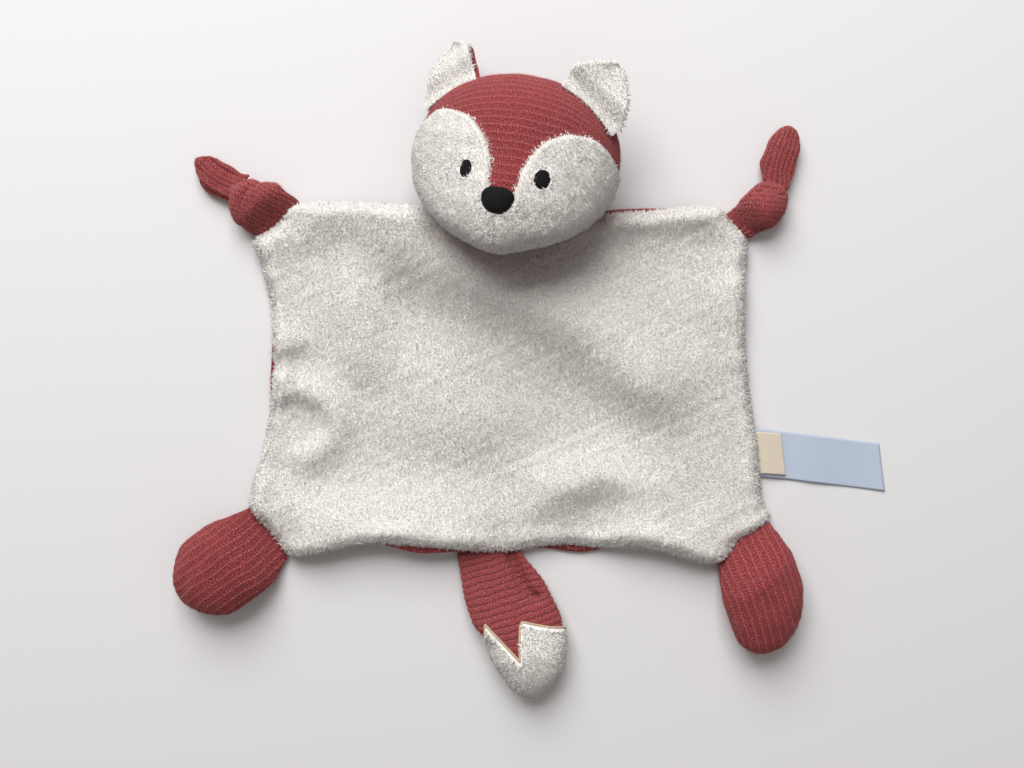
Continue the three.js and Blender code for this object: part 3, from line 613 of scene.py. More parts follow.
def growPile(name, cloth, seed, low=-1000, high=1000, size=1.0, spacing=pile["spacing"], hairs=False):
    # real tufts, from low to high in y, wherever the cloth's "grows" attribute is above nothing
    tree = hairTree if hairs else plushTree
    maker = cloth.modifiers.new("pile", "NODES")
    maker.node_group = tree
    sockets = {item.name: item.identifier for item in tree.interface.items_tree}
    maker[sockets["Seed"]] = seed
    maker[sockets["Spacing"]] = spacing * mm
    maker[sockets["Size"]] = size
    maker[sockets["Low"]] = low * mm
    maker[sockets["High"]] = high * mm
    graph = bpy.context.evaluated_depsgraph_get()
    mesh = bpy.data.meshes.new_from_object(
        cloth.evaluated_get(graph), preserve_all_data_layers=True, depsgraph=graph)
    cloth.modifiers.remove(maker)
    mesh.name = name
    setPlaces(mesh, placesOf(mesh) / mm)
    co = placesOf(mesh)
    corner, spread = co.min(axis=0), np.ptp(co, axis=0).max()
    setMap(mesh, "OFBake", ((co - corner) / spread)[:, :2])
    piece = addPiece(mesh, fluffThread if hairs else plushPile, None)
    report(f"{name}, {len(mesh.polygons)} faces")
    return piece


def growHairs(piece, seed, body=None, grows=None):
    # loose fibre standing off the knit
    setShare(piece.data, "grows", np.ones(len(piece.data.vertices)) if grows is None else grows)
    fluff = growPile(f"{piece.name}Fluff", piece, seed, spacing=pile["hairSpacing"], hairs=True)
    if body:
        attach(fluff, body)
    return fluff


report("blanket")

blanket = {
    "left": [(-120.1, -72.2), (-128.2, -61.9), (-128.2, -52), (-121.8, -27.5), (-117.8, 2), (-117.8, 26.5),
             (-120.3, 46.2), (-126.2, 65.8), (-126.7, 70.7), (-115.7, 79.8)],
    "top": [(-115.7, 79.8), (-104.5, 88.9), (-76.9, 88.9), (-45.4, 86.9), (0, 84.5), (53.2, 84), (87.8, 86.9),
            (99.6, 86.9), (103.5, 85.4), (109.7, 78.1)],
    "right": [(112.9, -77.4), (127.2, -66.8), (123.3, -57), (121.3, -32.4), (118.3, -12.8), (114.9, 16.7),
              (114.4, 46.2), (115.9, 70.7), (109.7, 78.1)],
    "bottom": [(-120.1, -72.2), (-111.9, -82.5), (-104.5, -84.5), (-94.7, -82.5), (-70, -77.6),
               (-40.4, -79.1), (-5.9, -82.5), (23.7, -79.1), (43.4, -80.5), (68, -80.5), (98.6, -87.9),
               (112.9, -77.4)],
    "foldLine": -8,
    "bendReach": 13,        # the cloth bends over this far on each side of the fold line
    "seamHeight": 1.9,
    "knit": 2.2,
    "plush": 2.9,           # backing and packed pile, under the tufts
    "layerGap": 0.3,
    "edgeRoll": 5.2,        # how far in from the seam the edge is rounded
    "hemPuff": 1.2,         # the turned hem inside the edge
    "hemAt": 5.2,
    "hemWidth": 4.2,
    "pucker": 0.8,
    "pressed": 2.3,         # how far the head has pressed the pile down, seen only when it hangs back
    "pressedAt": (2, 80),
    "pressedReach": (26, 10),
    "slack": 0.1,           # how far the cloth floats where it has no fold
    "pileBands": 5,         # pieces that the pile is made in, from the bottom edge to the top
    "backRoll": 2.2,        # the same rounding at the edge of the back
    "backOut": 0.35,        # how far the knit shows past the plush all along the seam
    "peeps": [              # and where it shows more: the place, its reach, how far
        ((-121, 8), 12, 2.2), ((58, 85), 20, 3.0), ((-44, -79), 16, 4.4), ((30, -80), 13, 4.4)],
}
# ridges of the cloth: the line of each crest, its height, how far it falls away to the left and the right
# of that line, and over what length it rises at either end, in mm
folds = [
    {"line": [(-80, 75), (-55, 71), (-36, 62), (-9, 50.5), (11, 40.5), (31, 29), (52, 14), (70, -2),
              (88, -22)],
     "height": 10.8, "left": 23, "right": 18, "fade": (20, 34)},
    {"line": [(-128, 68), (-112, 78), (-96, 83), (-70, 83), (-48, 80), (-30, 77)],
     "height": 4.8, "left": 8, "right": 11, "fade": (0, 20)},
    {"line": [(35, 81), (60, 81.5), (84, 83), (116, 80)],
     "height": 4.8, "left": 8, "right": 11, "fade": (20, 0)},
    {"line": [(92, 38), (104, 41), (122, 40)], "height": 4.8, "left": 22, "right": 26, "fade": (14, 0)},
    {"line": [(-135, -80), (-94, -77), (-69, -76), (-43, -80), (-10, -82), (16, -82)],
     "height": 9.6, "left": 23, "right": 14, "fade": (0, 44)},
    {"line": [(-4, -66), (14, -58), (24, -51), (35, -46), (48, -44), (60, -46), (72, -53), (86, -66)],
     "height": 6.0, "left": 17, "right": 12, "fade": (30, 20)},
    {"line": [(44, -72), (64, -73), (84, -79), (120, -86)],
     "height": 8.4, "left": 16, "right": 12, "fade": (16, 0)},
    {"line": [(-126, -2), (-108, -2), (-96, -5), (-87, -12), (-85, -22), (-91, -31), (-102, -37),
              (-114, -42)],
     "height": 4.05, "left": 9.5, "right": 7, "fade": (0, 16)},
    {"line": [(-128, 20), (-108, 21), (-94, 25)], "height": 3.6, "left": 9, "right": 7, "fade": (0, 14)},
    {"line": [(-77, 66), (-77, 40), (-76, 16), (-74, -10)],
     "height": 5.1, "left": 16, "right": 11, "fade": (26, 34)},
    {"line": [(-66, -2), (-30, -12), (6, -26)], "height": 4.5, "left": 36, "right": 26, "fade": (20, 20)},
]
# where limbs, neck and label are sewn in, only this share of a fold is left: x, y, reach, share
flatAt = [(-120, -77, 15, 0), (114, -76, 15, 0), (-7, -86, 16, 0.45), (-118, 81, 13, 0), (113, 81, 13, 0),
          (2, 85, 20, 0), (122, -34, 12, 0)]


def foldHeight(x, y, fold):
    line = curveThrough(fold["line"])
    length = np.linalg.norm(np.diff(line, axis=0), axis=1).sum()
    count = int(length / 3) + 2
    places = alongCurve(line, np.linspace(0, 1, count))
    ways = np.gradient(places, axis=0)
    ways /= np.linalg.norm(ways, axis=1)[:, None]
    blur = 0.3 * (fold["left"] + fold["right"])
    total = np.zeros(len(x))
    for (px, py), (wx, wy), at in zip(places, ways, np.linspace(0, length, count)):
        along = (x - px) * wx + (y - py) * wy
        away = (y - py) * wx - (x - px) * wy
        reach = mix(fold["right"], fold["left"], 0.5 + 0.5 * np.tanh(away / 4))
        share = smooth(at, -0.01, fold["fade"][0]) * smooth(length - at, -0.01, fold["fade"][1])
        total += share * np.exp(-((away / reach) ** 2) - (along / blur) ** 2)
    return fold["height"] * total * length / (count - 1) / (blur * math.sqrt(math.pi))


def liftAt(x, y):
    height = sum(foldHeight(x, y, fold) for fold in folds)
    for px, py, reach, left in flatAt:
        height *= 1 - (1 - left) * bell(np.hypot(x - px, y - py), reach)
    plan = np.stack([x, y, 0 * x], axis=1)
    slack = 0.4 * softNoise(plan, 38, 3) + 0.12 * softNoise(plan, 15, 4)
    height = height + blanket["slack"] + slack * smooth(height, -0.5, 1.5)
    return np.log1p(np.exp(2 * height)) / 2


def blanketLines(grow):
    # the four sides of the cut cloth, moved outwards by a distance that may change along them
    sides = {}
    for name in ("left", "top", "right", "bottom"):
        line = curveThrough(blanket[name])
        if grow is not None:
            line = line * (1 + grow(line)[:, None] / np.linalg.norm(line, axis=1)[:, None])
        sides[name] = line
    return sides


def blanketPlan(mesh, grow=None):
    # the grid laid between the four sides, and each point's distance from the edge
    co = placesOf(mesh)
    u, v = (co[:, 0] + 1) / 2, (co[:, 1] + 1) / 2
    sides = blanketLines(grow)
    low, high = alongCurve(sides["bottom"], u), alongCurve(sides["top"], u)
    left, right = alongCurve(sides["left"], v), alongCurve(sides["right"], v)
    bl, br, tl, tr = sides["bottom"][0], sides["bottom"][-1], sides["top"][0], sides["top"][-1]
    u, v = u[:, None], v[:, None]
    corners = (1 - u) * (1 - v) * bl + u * (1 - v) * br + (1 - u) * v * tl + u * v * tr
    plan = (1 - v) * low + v * high + (1 - u) * left + u * right - corners
    outline = np.vstack([sides["bottom"], sides["right"], sides["top"][::-1], sides["left"][::-1]])
    edge = lineDistance(outline, plan[:, 0], plan[:, 1])[0]
    return plan[:, 0], plan[:, 1], edge, co[:, 2] > 0


def knitBeyond(line):
    # how far the knit shows past the plush, at each point of a side
    far = [out * bell(np.hypot(line[:, 0] - px, line[:, 1] - py), reach)
           for (px, py), reach, out in blanket["peeps"]]
    return blanket["backOut"] + sum(far)


def addBlanket():
    b = blanket
    mesh = layeredMesh("blanketFront", 210, 150)
    x, y, edge, upper = blanketPlan(mesh)
    lift = liftAt(x, y)
    full = lift + b["knit"] + b["layerGap"]
    seam = lift + b["seamHeight"]
    rounded = edgeRound(edge, b["edgeRoll"])
    plan = np.stack([x, y, 0 * x], axis=1)
    puff = b["hemPuff"] * bell(edge - b["hemAt"], b["hemWidth"]) * (1 + 0.6 * softNoise(plan, 28, 8))
    pucker = b["pucker"] * softNoise(plan, 9, 6) * bell(edge, 7)
    grain = 0.16 * softNoise(plan, 3.2, 9)
    (middleX, middleY), (reachX, reachY) = b["pressedAt"], b["pressedReach"]
    press = np.exp(-(((x - middleX) / reachX) ** 4) - (((y - middleY) / reachY) ** 4))
    top = mix(seam, full + b["plush"] + (puff + pucker) * (1 - press) + grain - b["pressed"] * press, rounded)
    low = mix(seam, full, rounded)
    setPlaces(mesh, np.stack([x, y, np.where(upper, top, low)], axis=1))
    setShare(mesh, "grows", np.where(upper, 1 - 0.6 * bell(edge, 2.2), (edge < 0.9) * 0.4))
    front = addPiece(mesh, plushCloth, None, ["blanket_front_upper", "blanket_front_lower"])

    bands = np.linspace(y.min() - 2, y.max() + 2, b["pileBands"] + 1)
    rows = enumerate(zip(bands, bands[1:]), start=1)
    tufts = [growPile(f"blanketPile{row}", front, 1, start, end) for row, (start, end) in rows]

    mesh = layeredMesh("blanketBack", 340, 70)
    x, y, edge, upper = blanketPlan(mesh, knitBeyond)
    lift = liftAt(x, y)
    rounded = edgeRound(edge, b["backRoll"])
    seam = lift + b["seamHeight"] - 0.2
    ribs = ribHeight(x, backRib) * smooth(edge, 0, 4)
    low = lift + backRib["height"] - ribs
    setPlaces(mesh, np.stack([x, y, mix(seam, np.where(upper, lift + b["knit"], low), rounded)], axis=1))
    setClothMap(mesh, x, y)
    back = addPiece(mesh, knitRibbed, None, ["blanket_back_upper", "blanket_back_lower"])

    fluff = growHairs(back, 2, grows=np.where(upper, edge < 0.3, edge < 2))
    for piece in (front, back, fluff, *tufts):
        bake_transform(piece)


addBlanket()

report("limbs")

limbShoulder = 0.45     # share of its length where a limb is full
limbRoundFrom = 0.6     # share where its end starts to round
limbTucked = 0.07       # share of its length that rounds off the sewn root
limbTuck = 3.5          # how far its root reaches into the seam
rootRadius = 1.6
seamHeight = blanket["seamHeight"]


def overSurface(z, ease=0.6):
    # what comes lower than the ease is flattened onto the surface instead of sinking in
    return np.where(z < ease, ease * np.exp((np.maximum(z, -40) - ease) / ease), z)


def limbPlan(limb, y):
    # how far aside of its seat the limb lies at each y, and half its width there, before its end is rounded
    line = curveThrough(limb["plan"])
    return [np.interp(y, line[:, 0], line[:, i]) for i in (1, 2)]


def limbPlaces(limb, unit, grow=0.0):
    # a unit ball drawn out along y: its lower pole is the sewn root, its upper one the limb's end
    run, angle = roundBall(unit)
    cap = edgeRound(run, limbTucked)
    even = np.clip((run - limbTucked) / (1 - limbTucked), 0, 1)
    over = np.clip((even - limbRoundFrom) / (1 - limbRoundFrom), 0, 1)
    share = np.where(over > 0, mix(limbRoundFrom, 1, np.sin(over * math.pi / 2)), even)
    rounded = np.cos(over * math.pi / 2) * cap
    settled = smooth(share, 0, limb.get("shoulder", limbShoulder))
    start = -limb.get("tuck", limbTuck)
    y = mix(start, limb["length"] + grow, share) + (cap - 1) * 1.5
    aside, half = limbPlan(limb, mix(start, limb["length"], share))
    halfWidth = np.maximum(half + grow, 0.4) * rounded
    halfHeight = np.maximum(mix(rootRadius, limb["thickness"] / 2, settled) + grow, 0.4) * rounded
    centre = mix(limb.get("rootHeight", seamHeight), limb["thickness"] / 2 - 0.5, settled)
    z = centre + halfHeight * np.sin(angle)
    across = arcAcross(halfWidth, halfHeight, angle)
    return np.stack([aside + halfWidth * np.cos(angle), y, overSurface(z)], axis=1), across, y, share


def arcAcross(halfWidth, halfHeight, angle):
    # how far each point lies from the middle of the upper or lower side, along its ring
    fold = np.arcsin(np.abs(np.sin(angle)))
    count = 16
    steps = np.linspace(0, 1, count + 1)
    total = np.zeros(len(angle))
    for low, high in zip(steps, steps[1:]):
        turn = mix(fold, math.pi / 2, (low + high) / 2)
        total += np.hypot(halfWidth * np.sin(turn), halfHeight * np.cos(turn)) * (math.pi / 2 - fold) / count
    return np.where(np.cos(angle) < 0, -total, total)


def sideGroove(mesh, angle, depth, width, halfHeight):
    # the sewn seam down each side
    away = np.abs(np.sin(angle)) * halfHeight
    pushOut(mesh, -depth * bell(away, width))


# plans: distance out of the seam, how far aside the limb lies there, half its width there
feet = {
    "left": {"length": 50.3, "thickness": 25, "plan": [
        (-3.5, 2.9, 14), (0, 2.4, 16), (8.9, 0.8, 19.2), (18, 0.9, 21), (27.6, 1.1, 21.6), (40, 0.6, 20.1),
        (51, 0.4, 17)]},
    "right": {"length": 52, "thickness": 25, "plan": [
        (-3.5, -0.2, 15.5), (0, 0, 15.8), (8, 2.9, 18), (16, 5.8, 20.2), (22, 7.9, 21), (40, 14.4, 21),
        (53, 19, 21)]},
}
filling = {"taper": 0.32, "under": 3, "lumps": 0.3, "raised": 0.6}      # under: mm below the cloth


def addFilling(name, limb, seat, body, node):
    mesh = ballMesh(name, 40, 30)
    length = limb["length"]
    slimmer = [(y, aside, half * smooth(y / length, 0.05, 0.55)) for y, aside, half in limb["plan"]]
    inner = {**limb, "tuck": -filling["taper"] * length, "length": length - 1, "plan": slimmer}
    co = limbPlaces(inner, placesOf(mesh), -filling["under"])[0]
    co += softNoise(co, 9, 12)[:, None] * filling["lumps"] + (0, 0, filling["raised"])
    setPlaces(mesh, turned(co, seat))
    addPiece(mesh, fibreFill, body, [node])


def addFeet():
    for side, foot in feet.items():
        seat = hingeSeat(f"foot_{side}_fold", -1)
        body = f"foot_{side}"
        mesh = ballMesh(f"foot{side.capitalize()}", 180, 90)
        unit = placesOf(mesh)
        co, across, along, share = limbPlaces(foot, unit)
        co += softNoise(co, 16, 21)[:, None] * (0.5 * smooth(along, 2, 12))[:, None]
        setPlaces(mesh, co)
        sideGroove(mesh, roundBall(unit)[1], 0.9, 0.7, foot["thickness"] / 2)
        wander = across + 0.35 * softNoise(co, 20, 22)
        raiseRibs(mesh, wander, limbRib, smooth(1 - share, 0, 0.03))
        setClothMap(mesh, wander, along)
        moveTo(mesh, seat)
        piece = addPiece(mesh, knitRibbed, None, [f"foot_{side}_skin"])
        for part in (piece, growHairs(piece, 31)):
            bendAt(part)
        addFilling(f"foot{side.capitalize()}Filling", foot, seat, body, f"foot_{side}_filling")


addFeet()

tail = {
    "length": 66.4, "thickness": 21, "shoulder": 0.85,
    "plan": [
        (-3.5, 4.4, 15), (0, 3.4, 16.7), (10.4, -1.9, 20.2), (19.7, -5.2, 21.9), (27.6, -8.4, 22.5),
        (33.7, -10.2, 21.8), (38, -12.6, 19.8), (41, -14.3, 18.4), (49.5, -15.2, 17.8), (54, -16, 17.1),
        (62.5, -16, 16), (67, -16.2, 16)],
    "lean": -0.3,           # across for each step out of the seam
    "edge": [               # the zigzag cut
        (-34, 48), (-24, 42.8), (-13.9, 38.3), (-2.8, 32.2), (-1.2, 34), (2.2, 43.9), (3.4, 49.6), (15, 28.6),
        (17.6, 36), (24, 44), (34, 52)],
    "proud": 0.8,
    "crease": [(-6.6, -2), (-7.6, 2), (-11, 9.3), (-14.4, 16), (-18.3, 19.6)],
    "creaseDepth": 5.6,
    "creaseWidth": 2.6,
    "trim": 0.62,
}


def tailEdgeLine():
    # the zigzag, turned with the tail's lean, and closed far past the tip
    angle = -math.atan(tail["lean"])
    line = np.array(tail["edge"] + [(60, 120), (-60, 120)], float)
    turn = np.array([[math.cos(angle), -math.sin(angle)], [math.sin(angle), math.cos(angle)]])
    return line @ turn.T


def addTail():
    t = tail
    seat = hingeSeat("tail_fold", -1)
    angle = -math.atan(t["lean"])
    root = np.array(seat.translation)
    t["rootHeight"] = seamHeight + float(liftAt(root[:1], root[1:2])[0])
    mesh = ballMesh("tailSleeve", 110, 170)
    unit = placesOf(mesh)
    co, across, along = limbPlaces(t, unit)[:3]
    upper = smooth(unit[:, 2], 0, 0.3)
    away = lineAway(t["crease"], co[:, 0], co[:, 1])
    sink = t["creaseDepth"] * bell(away, t["creaseWidth"]) * upper
    setPlaces(mesh, co - sink[:, None] * (0, 0, 1))
    down = co[:, 1] * math.cos(angle) - co[:, 0] * math.sin(angle) + 0.4 * softNoise(co, 18, 31)
    raiseRibs(mesh, down, tailRib, smooth(along, -2, 4) * (1 - 0.75 * upper * bell(away, 3.2)))
    setClothMap(mesh, down, across)
    moveTo(mesh, seat)
    sleeve = addPiece(mesh, knitTail, None, ["tail_sleeve"])
    line = tailEdgeLine()
    fluff = growHairs(sleeve, 32, grows=signedDistance(line, co[:, 0], co[:, 1]) < -0.5)

    mesh = ballMesh("tailTip", 200, 220)
    co = limbPlaces(t, placesOf(mesh))[0]
    inside = signedDistance(line, co[:, 0], co[:, 1])
    grow = mix(-1.4, t["proud"], smooth(inside, -0.7, 0.5))
    co = limbPlaces(t, placesOf(mesh), grow)[0]
    setPlaces(mesh, turned(co, seat))
    setShare(mesh, "grows", smooth(inside, 0.9, 1.6))
    onlyWhere(mesh, inside > -1.2)
    tip = addPiece(mesh, plushCloth, "tail", ["tail_tip"])
    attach(growPile("tailTipPile", tip, 4, size=1.4, spacing=0.45), "tail")

    addTrim(line, seat)
    for piece in (sleeve, fluff):
        bendAt(piece)
    addFilling("tailFilling", t, seat, "tail", "tail_filling")


def addTrim(line, seat):
    # the raw edge of the tip's cloth: a narrow bead that follows the zigzag over and under the tail
    dense = alongCurve(line[:-2], np.linspace(0, 1, 280))
    probe = ballMesh("probe", 160, 200)
    co = limbPlaces(tail, placesOf(probe), 0.35)[0]
    bpy.data.meshes.remove(probe)
    loop = []
    for face in (1, -1):
        side = co[(co[:, 2] - 9.5) * face > -1.5]
        stretch = []
        for x, y in dense[::face]:
            near = side[np.argsort(np.hypot(side[:, 0] - x, side[:, 1] - y))[:4]]
            away = np.hypot(near[:, 0] - x, near[:, 1] - y)
            if away[0] > 1.1:
                continue
            weight = 1 / (away + 0.05)
            stretch.append((x, y, float((near[:, 2] * weight).sum() / weight.sum())))
        loop += stretch
    loop = turned(np.array(loop), seat)
    curve = bpy.data.curves.new("trimPath", "CURVE")
    curve.dimensions = "3D"
    curve.bevel_depth = tail["trim"]
    curve.bevel_resolution = 2
    spline = curve.splines.new("POLY")
    spline.points.add(len(loop) - 1)
    spline.points.foreach_set("co", np.c_[loop, np.ones(len(loop))].ravel())
    spline.use_cyclic_u = True
    holder = bpy.data.objects.new("trimPath", curve)
    bpy.context.scene.collection.objects.link(holder)
    graph = bpy.context.evaluated_depsgraph_get()
    mesh = bpy.data.meshes.new_from_object(holder.evaluated_get(graph), depsgraph=graph)
    mesh.name = "tailTrim"
    bpy.data.objects.remove(holder)
    addPiece(mesh, tanEdge, "tail", ["tail_trim"])


addTail()

report("arms")

arms = {
    "left": {
        "knot": {"length": 26, "thickness": 17, "plan": [
            (-3.5, 2.5, 12.4), (0, 1.8, 13.2), (6.5, -0.2, 13.7), (12, -0.4, 13.5), (17.5, -1.2, 11.2),
            (20, -1.8, 9.6), (27, -3, 7)]},
        "ribTurn": -28,         # bearing of the knot's ribs
        # the turn of the strand that lies over the knot
        "turnLine": [(6, 20), (1.4, 20.3), (-5, 19.6), (-10.5, 16.4), (-14, 11.5)],
        "turnWidth": 2.5, "turnHeight": 0.8, "crease": 0.5,
        "strand": (-7, -2),     # where the other end of the strand leaves the hem
        "hand": {"length": 22, "dish": 2.1, "layer": -1.9, "plan": [
            (-5, 4.5, 7.4), (0, 3.3, 7.5), (5, 2.4, 7.8), (10, 1.7, 7.7), (16, 1.9, 6.7), (21, 2.1, 5.2),
            (23, 2.2, 5)]},
    },
    "right": {
        "knot": {"length": 26.9, "thickness": 17, "plan": [
            (-3.5, 0.8, 7.4), (0, 0.8, 7.9), (6.3, 1.2, 9.2), (12.4, 1, 10.5), (18.9, 0.4, 10.5),
            (23.7, -0.2, 9), (28, -1, 8)]},
        "ribTurn": -8,
        "turnLine": [(-9.5, 6), (-10, 13), (-7.5, 20), (-1.5, 23.5)],
        "turnWidth": 2.0, "turnHeight": 0.5, "crease": 0.5,
        "strand": (5.5, 1),
        "hand": {"length": 27.2, "dish": 0.7, "layer": 0, "plan": [
            (-5, 0.9, 5.8), (-3.3, 0.8, 6.2), (0, 0, 7.5), (6, -1.1, 9.1), (10, -1.2, 9), (15.7, -1.2, 8.4),
            (28, -0.8, 8.5)]},
    },
}
strand = {"halfWidth": 4.2, "halfHeight": (2.6, 4.2), "out": (-2.5, 15), "height": 5.5, "length": 18}
handForm = {"thickness": 11, "rootHeight": 6.8, "tuck": 5}


def addArms():
    for side, arm in arms.items():
        seat = hingeSeat(f"arm_{side}_swing")
        form = arm["knot"]
        mesh = ballMesh(f"arm{side.capitalize()}Knot", 170, 120)
        unit = placesOf(mesh)
        co = limbPlaces(form, unit)[0]
        turn = math.radians(arm["ribTurn"]) - math.atan2(seat[1][0], seat[0][0])
        x, y = co[:, 0], co[:, 1] - form["length"] * 0.55
        across = y * math.cos(turn) - x * math.sin(turn)
        along = x * math.cos(turn) + y * math.sin(turn)
        radius = max(half for y, aside, half in form["plan"]) + 2.5
        arc = np.arcsin(np.clip(across / radius, -1, 1)) * radius + 0.7 * softNoise(co, 16, 41)
        setPlaces(mesh, co + softNoise(co, 13, 42)[:, None] * 0.6)
        # one turn of the strand crosses the knot, with a crease on each side of it
        away = lineAway(arm["turnLine"], co[:, 0], co[:, 1]) / arm["turnWidth"]
        fold = arm["turnHeight"] * bell(away, 1) - arm["crease"] * bell(away - 1.45, 0.4)
        pushOut(mesh, fold * smooth(unit[:, 2], -0.2, 0.2))
        raiseRibs(mesh, arc, knotRib, smooth(away, 0.6, 1.6))
        setClothMap(mesh, arc, along)
        moveTo(mesh, seat)
        knot = addPiece(mesh, knitArm, None, [f"arm_{side}_knot"])
        for piece in (knot, growHairs(knot, 41), addStrand(side, arm, seat)):
            bendAt(piece)
        addHand(side, arm["hand"])


def addStrand(side, arm, seat):
    # the strand's other end, tucked from the hem under the knot
    start, lean = arm["strand"]
    mesh = ballMesh(f"arm{side.capitalize()}Strand", 70, 60)
    run, angle = roundBall(placesOf(mesh))
    cap = tubeCap(run, 0.2, 0.25)
    x = start + lean * run + strand["halfWidth"] * cap * np.cos(angle)
    middle = mix(seamHeight + 1, strand["height"], smooth(run, 0, 0.6))
    z = middle + mix(*strand["halfHeight"], run) * cap * np.sin(angle)
    setPlaces(mesh, np.stack([x, mix(*strand["out"], run), z], axis=1))
    across = arcAcross(strand["halfWidth"] * cap, 3.6 * cap, angle)
    raiseRibs(mesh, across, armRib, smooth(1 - run, 0, 0.2))
    setClothMap(mesh, across, run * strand["length"])
    moveTo(mesh, seat)
    return addPiece(mesh, knitArm, None)


def addHand(side, hand):
    # the free lobe past the knot, a doubled strip that opens along its middle
    seat = hingeSeat(f"hand_{side}_flop")
    form = {**handForm, "length": hand["length"], "plan": hand["plan"]}
    mesh = ballMesh(f"hand{side.capitalize()}", 130, 110)
    unit = placesOf(mesh)
    angle = roundBall(unit)[1]
    co, across, along, share = limbPlaces(form, unit)
    opening = smooth(share, 0.02, 0.35) * smooth(1 - share, 0.03, 0.25) * np.clip(unit[:, 2] * 2.5, 0, 1)
    co[:, 2] -= hand["dish"] * smooth(1 - np.abs(np.cos(angle)), 0.08, 0.5) * opening
    # the layer below shows past the one above
    co[:, 0] += hand["layer"] * smooth(-unit[:, 2], 0, 0.25) * smooth(1 - share, 0.1, 0.5)
    co += softNoise(co, 12, 43)[:, None] * 0.35
    setPlaces(mesh, co)
    sideGroove(mesh, angle, 1.0, 0.7, form["thickness"] / 2)
    raiseRibs(mesh, across, armRib, smooth(1 - share, 0, 0.1))
    setClothMap(mesh, across, along)
    moveTo(mesh, seat)
    lobe = addPiece(mesh, knitArm, None, [f"arm_{side}_tip"])
    for piece in (lobe, growHairs(lobe, 44)):
        bendAt(piece)


addArms()

report("head")

head = {
    "centre": (2.1, 105.6, 23.5), "tilt": -9, "yaw": -8.3,
    "halfWidth": 49, "halfHeight": 42.2, "face": 30, "nape": 24, "chinLift": 18,
    "muzzle": 6, "muzzleWidth": 13, "muzzleDrop": 22,
    "crownFullness": 2.4, "chinFullness": 1.95,
    "chinPoint": 3.0, "chinWidth": 12,      # the chin comes to a blunt point
    "cheekEdges": {
        "left": [(-4, -24), (-4.4, -19.6), (-5.7, -7.8), (-8.4, 0), (-12.1, 5.8), (-17, 11.2), (-23.7, 15.2),
                 (-31, 17.2), (-36.8, 17.2), (-42.1, 14.6), (-47, 9.5), (-58, -4)],
        "right": [(6.5, -24), (7.1, -18.6), (8.6, -8.1), (11.8, -0.3), (16, 5.4), (21.4, 9.4), (27, 11.6),
                  (34, 12.2), (40, 10.4), (45, 6.8), (49, 1.5), (58, -9)],
    },
    "cheekProud": 1.3,
    "noseAt": (0.3, -24.5), "noseSize": (14.4, 11.9), "noseTaper": 0.2,
    "muzzleLine": 0.5,      # depth of the short line below the nose
    "eyes": {"left": ((-17.3, -11.2), (5.6, 8.4)), "right": ((18.2, -11.6), (6.9, 8.9))},
    "bareMargin": 0.6,      # no pile grows this near to the nose and the eyes
    "neckWidth": 44, "neckX": 2, "neckHalfHeight": 4.8, "neckReach": 14,
}
headSeat = (Matrix.Translation(head["centre"]) @ Matrix.Rotation(math.radians(head["tilt"]), 4, "Z")
            @ Matrix.Rotation(math.radians(head["yaw"]), 4, "Y"))


def headSurface(share, angle, grow=0.0):
    h = head
    y = (h["halfHeight"] + grow) * share
    fullness = np.where(share > 0, h["crownFullness"], h["chinFullness"])
    width = (h["halfWidth"] + grow) * np.sqrt(np.maximum(0, 1 - np.abs(share) ** fullness))
    x = width * np.cos(angle)
    lift = np.sin(angle)
    depth = np.where(lift > 0, h["face"], h["nape"]) + grow
    away = (x * x + (y + h["muzzleDrop"]) ** 2) / (2 * h["muzzleWidth"] ** 2)
    bulge = np.maximum(0, lift) * h["muzzle"] * np.exp(-away)
    seam = h["chinLift"] * np.minimum(0, y / h["halfHeight"]) ** 2
    y = y - h["chinPoint"] * smooth(-share, 0.55, 1) * bell(x, h["chinWidth"])
    return np.stack([x, y, seam + depth * np.sqrt(np.maximum(0, 1 - share * share)) * lift + bulge], axis=1)


def faceHeight(x, y, grow):
    # the height of the face over a place in its plan
    share = np.clip(y / head["halfHeight"], -0.99, 0.99)
    fullness = np.where(share > 0, head["crownFullness"], head["chinFullness"])
    width = head["halfWidth"] * np.sqrt(1 - np.abs(share) ** fullness)
    return headSurface(share, np.arccos(np.clip(x / width, -1, 1)), grow)[:, 2]


def headBall(name, sides, rings):
    mesh = ballMesh(name, sides, rings)
    unit = placesOf(mesh)
    return mesh, unit[:, 1].copy(), roundBall(unit)[1]


def midlineRun(share):
    # distance over the middle of the face from its middle, so that the ribs keep their pitch
    count = 400
    steps = np.sin(np.linspace(-math.pi / 2, math.pi / 2, count))
    line = headSurface(steps, np.full(count, math.pi / 2))
    run = np.r_[0, np.cumsum(np.linalg.norm(np.diff(line, axis=0), axis=1))]
    return np.interp(share, steps, run) - np.interp(0, steps, run)


def ribRun(share, angle):
    # the knit's ribs follow one another over the face, the crown and down the back: how far on each point is
    lift = np.sin(angle) * np.sqrt(1 - share**2)
    reach = mix(1, np.hypot(share, lift), smooth(share, 0, 0.35))
    run = midlineRun(np.clip(share / reach, -1, 1))
    return np.where(lift > 0, run, 2 * midlineRun(1) - run)


def overFloor(mesh, seat, floor=0.0):
    co = turned(placesOf(mesh), seat)
    co[:, 2] = floor + overSurface(co[:, 2] - floor)
    setPlaces(mesh, co)


